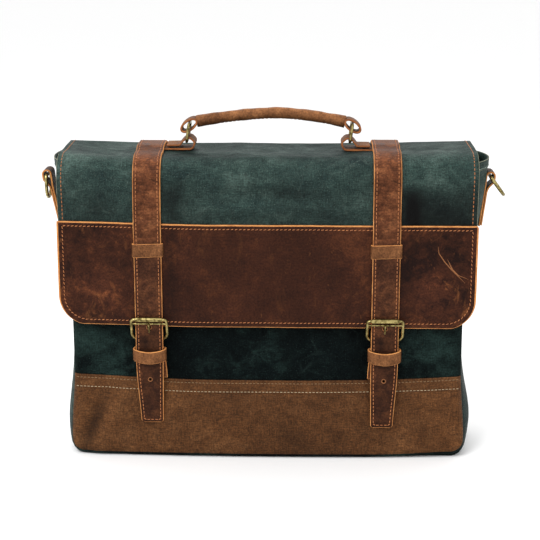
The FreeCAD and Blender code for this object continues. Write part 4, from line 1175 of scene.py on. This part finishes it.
def make_strap(name):
    half = STRAP_WIDTH / 2
    rear = FLAP.where(0, box_mm(f"strap_top_{name}")[1][1]) + STRAP_REAR_GAP
    under_keeper = FLAP_END - (END_TOP - FLAP_LOW)
    spot = strap_spot_for(name)
    rows = np.linspace(rear, under_keeper, 110)
    upper = slab(f"strap_upper_{name}", spot, rows, -half, half, STRAP_PLY, [STRAP, RAW_EDGE], 14, 0.6,
                 open_ends=(False, True), tone=strap_tone)
    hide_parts(f"strap_top_{name}", f"strap_front_{name}")
    bend_fold(upper)
    inset = 3.0
    line = [(-half + inset, under_keeper), (-half + inset, rear + inset), (half - inset, rear + inset),
            (half - inset, under_keeper)]
    row = seam(f"strap_upper_stitches_{name}", spot, line, STRAP_PLY + 0.1, ORANGE_THREAD)
    bend_fold(row)

    spot = end_spot_for(name)
    tip = END_TOP - STRAP_TIP + TIP_LENGTH[name]
    near_tip = np.linspace(tip - 46, tip - 2.5, 22)[1:]
    rows = np.concatenate([np.linspace(0, tip - 46, 60), near_tip, [tip - 1, tip]])
    taper = smooth_step(rows, tip - 66, tip + 6)
    blunt = np.where(rows > tip - 1.5, 1.0, 0) + np.where(rows > tip - 0.5, 0.9, 0)
    outer, inner = 3.0, 1.7
    left = -half + taper * (outer if name == "left" else inner) + blunt
    right = half - taper * (inner if name == "left" else outer) - blunt
    end = slab(f"strap_end_leather_{name}", spot, rows, left, right, STRAP_PLY, [TAIL, RAW_EDGE], 14, 0.6,
               tone=tail_tone)
    roller_z = joint_mm(f"roller_spin_{name}")[2]
    spare = punched(f"strap_hole_rim_{name}", end, spot, END_TOP - (roller_z - 62.5), 1.5, STRAP_PLY)
    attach(spare, f"strap_end_{name}")
    used = punched(f"strap_prong_rim_{name}", end, spot, END_TOP - (roller_z - 8.5), 1.9, STRAP_PLY)
    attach(used, f"strap_end_{name}")
    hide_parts(f"strap_end_{name}")
    bend_lift(end)
    lines = [(-half + inset, 2), (-half + inset, tip - 62), (left[-3] + inset, tip - inset),
             (right[-3] - inset, tip - inset), (half - inset, tip - 62), (half - inset, 2)]
    fine = []
    for a, b in zip(lines, lines[1:]):
        eased = abs(b[1] - a[1]) > 20
        for s in np.linspace(0, 1, 14):
            across = s * s * (3 - 2 * s) if eased else s
            fine.append((a[0] + (b[0] - a[0]) * across, a[1] + (b[1] - a[1]) * s))
    row = seam(f"strap_end_stitches_{name}", spot, fine, STRAP_PLY + 0.1, ORANGE_THREAD)
    bend_lift(row)


# ---------------------------------------------------------------- keepers and tabs
def make_keepers(name):
    """The flat keeper on the band and the arched one under the buckle."""
    centre = SIDES[name] * STRAP_X
    low, high = box_mm(f"upper_keeper_{name}")
    level = (low[2] + high[2]) / 2
    base = float(flap_off(np.array(centre), np.array(FLAP_END - (level - FLAP_LOW))))
    foot = FLAP_FACE - base - BAND_PLY
    crest = foot - STRAP_PLY - 0.6
    reach = STRAP_WIDTH / 2 + 1.6
    corners = [(-reach - 0.4, foot + 0.6), (-reach, crest), (reach, crest), (reach + 0.4, foot + 0.6)]
    path = Route(corners, [2.4, 2.4], 0.6)

    def spot(u, v, t):
        x, y = path.at(v, -t)
        return centre + x, y, level + np.asarray(u, float) + 0.35 * np.sin(x * 0.11)

    half = (high[2] - low[2]) / 2 + 0.8
    rows = np.linspace(0, path.length, 60)
    keeper = slab(f"keeper_upper_{name}", spot, rows, -half, half, 2.2, [LIGHT_LEATHER, RAW_EDGE], 12, 0.5)
    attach(keeper, "flap_front")
    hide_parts(f"upper_keeper_{name}")

    low, high = box_mm(f"lower_keeper_{name}")
    middle = (low[2] + high[2]) / 2
    half = (high[2] - low[2]) / 2 + 1.6
    wide = (high[0] - low[0]) / 2 - 0.5
    ply = 1.9
    corners = [(0, high[1] - 2.0), (wide, high[1] - 2.0), (wide + 0.6, -58.5), (wide - 6, low[1] + 2.6),
               (0, low[1] + 0.8), (-wide + 6, low[1] + 2.6), (-wide - 0.6, -58.5), (-wide, high[1] - 2.0),
               (-0.01, high[1] - 2.0)]
    loop = Route(corners, [2.2, 5.5, 12.0, 20.0, 12.0, 5.5, 2.2], 0.6)

    def loop_spot(u, v, t):
        x, y = loop.at(v, t)
        droop = 2.0 * (1 - (x / wide) ** 2) * smooth_step(y, -50, low[1])
        return centre + x, y, middle + np.asarray(u, float) - droop + 1.0

    rows = np.linspace(0, loop.length, 110)
    arch = slab(f"keeper_lower_{name}", loop_spot, rows[:-1], -half, half, ply, [LIGHT_LEATHER, RAW_EDGE], 12, 0.5,
                closed=True)
    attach(arch, f"keeper_{name}")
    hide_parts(f"lower_keeper_{name}")


def make_tab(name):
    """Folded leather tab round the buckle's lower bar, with the snap's stud on its back."""
    centre = SIDES[name] * STRAP_X
    low = box_mm(f"buckle_tab_{name}")[0]
    pivot = joint_mm(f"prong_tilt_{name}")
    bar_y, bar_z = pivot[1], pivot[2]
    ply = 1.5
    back, front = bar_y + 0.15, bar_y - 0.15
    turn = 1.75
    corners = [(back, low[2]), (bar_y + turn, bar_z - 6), (bar_y + turn, bar_z + turn),
               (bar_y - turn, bar_z + turn), (bar_y - turn, bar_z - 6), (front, low[2] + 1.5)]
    path = Route(corners, [4, turn * 0.98, turn * 0.98, 4], 0.5)
    lean = 2.6 if name == "left" else -2.2

    def spot(u, v, t):
        y, z = path.at(v, t)
        return centre + u + lean * smooth_step(z, bar_z - 6, low[2]), y, z

    rows = np.linspace(0, path.length, 90)
    wide = np.where(np.abs(rows - path.length / 2) < 9, 10.0, 14.2)
    half = np.convolve(np.pad(wide, 3, mode="edge"), np.ones(7) / 7, mode="valid")
    tab = slab(f"buckle_tab_leather_{name}", spot, rows, -half, half, ply, [STRAP, RAW_EDGE], 12, 0.45)
    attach(tab, f"strap_end_{name}")
    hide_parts(f"buckle_tab_{name}")


# ---------------------------------------------------------------- handle
RING_LEFT = joint_mm("handle_pivot")
ANCHOR_RIGHT = joint_mm("ring_swing_right")
ANCHOR_LEFT = joint_mm("ring_swing_left")
RING_RIGHT = ANCHOR_RIGHT + (RING_LEFT - ANCHOR_LEFT)


def make_anchor(name):
    """Leather eye and tab that hold a handle ring on the flap."""
    way = SIDES[name]
    pivot = ANCHOR_RIGHT if name == "right" else ANCHOR_LEFT
    floor = TOP + float(flap_off(np.array(way * 95.0), np.array(FLAP.where(0, ANCHOR_Y))))
    ply = 1.8
    bed, eye_top = floor + 2.0, pivot[2] + 3.4
    corners = [(41, bed), (-5.2, bed), (-7.4, (bed + eye_top) / 2 + 0.6), (-2.0, eye_top + 0.6),
               (3.2, eye_top - 3.6), (6.6, bed + 2.2), (20, bed + 2.0)]
    path = Route(corners, [3.4, 2.6, 3.6, 4.0, 3.0], 0.4)

    def spot(u, v, t):
        x, z = path.at(v, -t)
        return pivot[0] + way * x, ANCHOR_Y + np.asarray(u, float), z

    rows = np.linspace(0, path.length, 120)
    half = 12.2
    eye = slab(f"anchor_leather_{name}", spot, rows, -half, half, ply, [LIGHT_LEATHER, LOOP_EDGE], 12, 0.5)
    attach(eye, "flap_top")
    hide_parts(f"handle_anchor_{name}")
    for index, u in enumerate((-half + 2.4, half - 2.4)):
        row = seam(f"anchor_stitches_{name}_{index}", spot, [(u, path.length - 11), (u, path.length - 1.5)],
                   -0.1, IVORY_THREAD, 3.2, 2.4)
        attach(row, "flap_top")


def make_handle():
    """Rolled grip and the flattened ends that loop round the two rings."""
    ends = {"left": RING_LEFT, "right": RING_RIGHT}
    centre_x = (RING_LEFT[0] + RING_RIGHT[0]) / 2
    high = box_mm("handle_grip")[1]
    crown = high[2] - 8.6
    reach = RING_RIGHT[0] - centre_x - 7.3
    foot = RING_LEFT[2] + 1.5
    peak = 6.5
    along = np.linspace(-reach, reach, 90)
    arm = np.where(along < peak, (peak - along) / (peak + reach), (along - peak) / (reach - peak))
    centres = np.column_stack([centre_x + along, np.full(90, ANCHOR_Y), crown - (crown - foot) * arm ** 1.65])
    angles = along / reach
    share = np.abs(angles)
    flat = smooth_step(share, 0.7, 1.0)
    thickness = 5.5 + 0.5 * flat + 0.2 * np.sin(angles * 14) + 0.12 * np.sin(angles * 31)
    radii = np.column_stack([6.0 + 1.6 * flat, thickness])
    # The grip's tone is a painted highlight along its top and painted shade on its underside.
    grip = tube("grip_leather", centres, radii, (0, 1, 0), [LIGHT_LEATHER, RAW_EDGE], 36,
                tone=lambda angle: 0.1 + 0.45 * np.sin(angle))
    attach(grip, "handle")
    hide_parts("handle_grip", "handle_core")

    def under(u, v, t):
        return v, np.full(np.shape(v), ANCHOR_Y) + u, np.interp(v, centres[:, 0], centres[:, 2]) - 5.6 - t

    row = seam("grip_stitches", under, [(1.5, centres[2, 0]), (1.5, centres[-3, 0])], 0.1, ORANGE_THREAD)
    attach(row, "handle")
    for name, pivot in ends.items():
        way = SIDES[name]
        ply = 2.1
        turn = np.linspace(0, 2 * math.pi, 80)
        long_way, short_way = 7.8 * np.cos(turn), 3.5 * np.sin(turn)
        slope = math.radians(36)
        corners = np.column_stack([0.2 + long_way * math.cos(slope) + short_way * math.sin(slope),
                                   -1.8 - long_way * math.sin(slope) + short_way * math.cos(slope)])
        path = Route(corners[::-1], [0.01] * 78, 0.4)

        def spot(u, v, t, pivot=pivot, way=way, path=path):
            x, z = path.at(v, -t)
            return pivot[0] + way * x, ANCHOR_Y + np.asarray(u, float), pivot[2] + z

        rows = np.linspace(0, path.length, 90)[:-1]
        loop = slab(f"handle_loop_leather_{name}", spot, rows, -8.6, 8.6, ply, [LIGHT_LEATHER, LOOP_EDGE], 12, 0.5,
                    closed=True)
        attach(loop, "handle")
        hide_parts(f"handle_loop_{name}")


# ---------------------------------------------------------------- side tabs
def make_side_tab(name):
    """Leather tab up the gusset that loops round the D-ring."""
    way = SIDES[name]
    pivot = joint_mm(f"side_ring_swing_{name}")
    low = box_mm(f"side_tab_{name}")[0]
    foot = HALF + np.interp(low[2], GUSSET_LEVELS[::-1], GUSSET_BOWS[name][::-1]) + 1.2
    head = abs(pivot[0])
    corners = [(foot + 0.4, low[2]), (head - 4.4, pivot[2] - 10), (head - 3.0, pivot[2] + 4.4),
               (head + 3.6, pivot[2] + 3.4),
               (head + 2.6, pivot[2] - 4.6), (head - 4.0, pivot[2] - 11.0), (foot + 0.7, low[2] + 1.0)]
    path = Route(corners, [30, 3.0, 3.0, 3.0, 14], 0.5)
    ply = 1.7

    def spot(u, v, t):
        x, z = path.at(v, -t)
        return way * x, np.asarray(u, float), z

    rows = np.linspace(0, path.length, 130)
    tab = slab(f"side_tab_leather_{name}", spot, rows, -10.0, 10.0, ply, [TAIL, RAW_EDGE], 12, 0.5)
    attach(tab, "root")
    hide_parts(f"side_tab_{name}")
    for index, u in enumerate((-7.6, 7.6)):
        row = seam(f"side_tab_stitches_{name}_{index}", spot,
                   [(u, path.length - 36), (u, path.length - 3)], -0.1, ORANGE_THREAD)
        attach(row, "root")


def paint_hardware():
    """Finishes for the metal that stays as the CAD made it."""
    for node, piece in frame["nodes"].items():
        if piece.hide_render:
            continue
        material = STEEL if node.startswith("snap_") else BRASS
        piece.data.materials.clear()
        piece.data.materials.append(material)
        piece.data.polygons.foreach_set("use_smooth", [True] * len(piece.data.polygons))
        soften = piece.modifiers.new("facets", "WEIGHTED_NORMAL")
        soften.keep_sharp = True


# ---------------------------------------------------------------- studio
def area_light(name, place, aim, size, power, colour=(1, 1, 1)):
    light = bpy.data.lights.new(name, "AREA")
    light.shape = "RECTANGLE"
    light.size, light.size_y = size
    light.energy = power
    light.color = colour
    lamp = bpy.data.objects.new(name, light)
    bpy.context.scene.collection.objects.link(lamp)
    lamp.location = place
    lamp.rotation_mode = "QUATERNION"
    way = np.array(aim, float) - np.array(place, float)
    lamp.rotation_quaternion = Vector(way).to_track_quat("-Z", "Y")
    return lamp


def make_studio():
    bpy.ops.mesh.primitive_plane_add(size=60.0, location=(0, 0, 0))
    floor = bpy.context.object
    floor.name = "floor"
    nodes = Nodes("floor_white")
    nodes.plain(Base_Color=(0.92, 0.92, 0.92, 1), Roughness=0.7)
    floor.data.materials.append(nodes.material)
    world = bpy.data.worlds.new("studio")
    world.use_nodes = True
    background = world.node_tree.nodes["Background"]
    background.inputs["Color"].default_value = (1, 1, 1, 1)
    background.inputs["Strength"].default_value = 1.06
    bpy.context.scene.world = world
    area_light("key", (-0.8, -1.2, 1.7), (0, 0, 0.18), (0.85, 0.75), 26)
    area_light("fill", (1.3, -1.3, 0.9), (0, 0, 0.18), (0.9, 0.9), 3)
    area_light("rear", (0.0, 1.0, 1.4), (0, 0, 0.25), (1.4, 0.6), 8)
    camera = bpy.data.cameras.new("camera")
    camera.lens = 94.5
    camera.sensor_width = 36.0
    holder = bpy.data.objects.new("camera", camera)
    bpy.context.scene.collection.objects.link(holder)
    holder.location = (0.0368, -1.3926, 0.5568)
    way = Vector((0.0018, -0.0023, 0.1837)) - Vector(holder.location)
    holder.rotation_mode = "QUATERNION"
    holder.rotation_quaternion = way.to_track_quat("-Z", "Y")
    bpy.context.scene.camera = holder
    bpy.context.scene.view_settings.view_transform = "Standard"


make_studio()
make_panels()
make_skirt()
make_inside()
make_flap()
make_band()
for strap_name in SIDES:
    make_strap(strap_name)
    make_keepers(strap_name)
    make_tab(strap_name)
    make_anchor(strap_name)
    make_side_tab(strap_name)
make_handle()
paint_hardware()
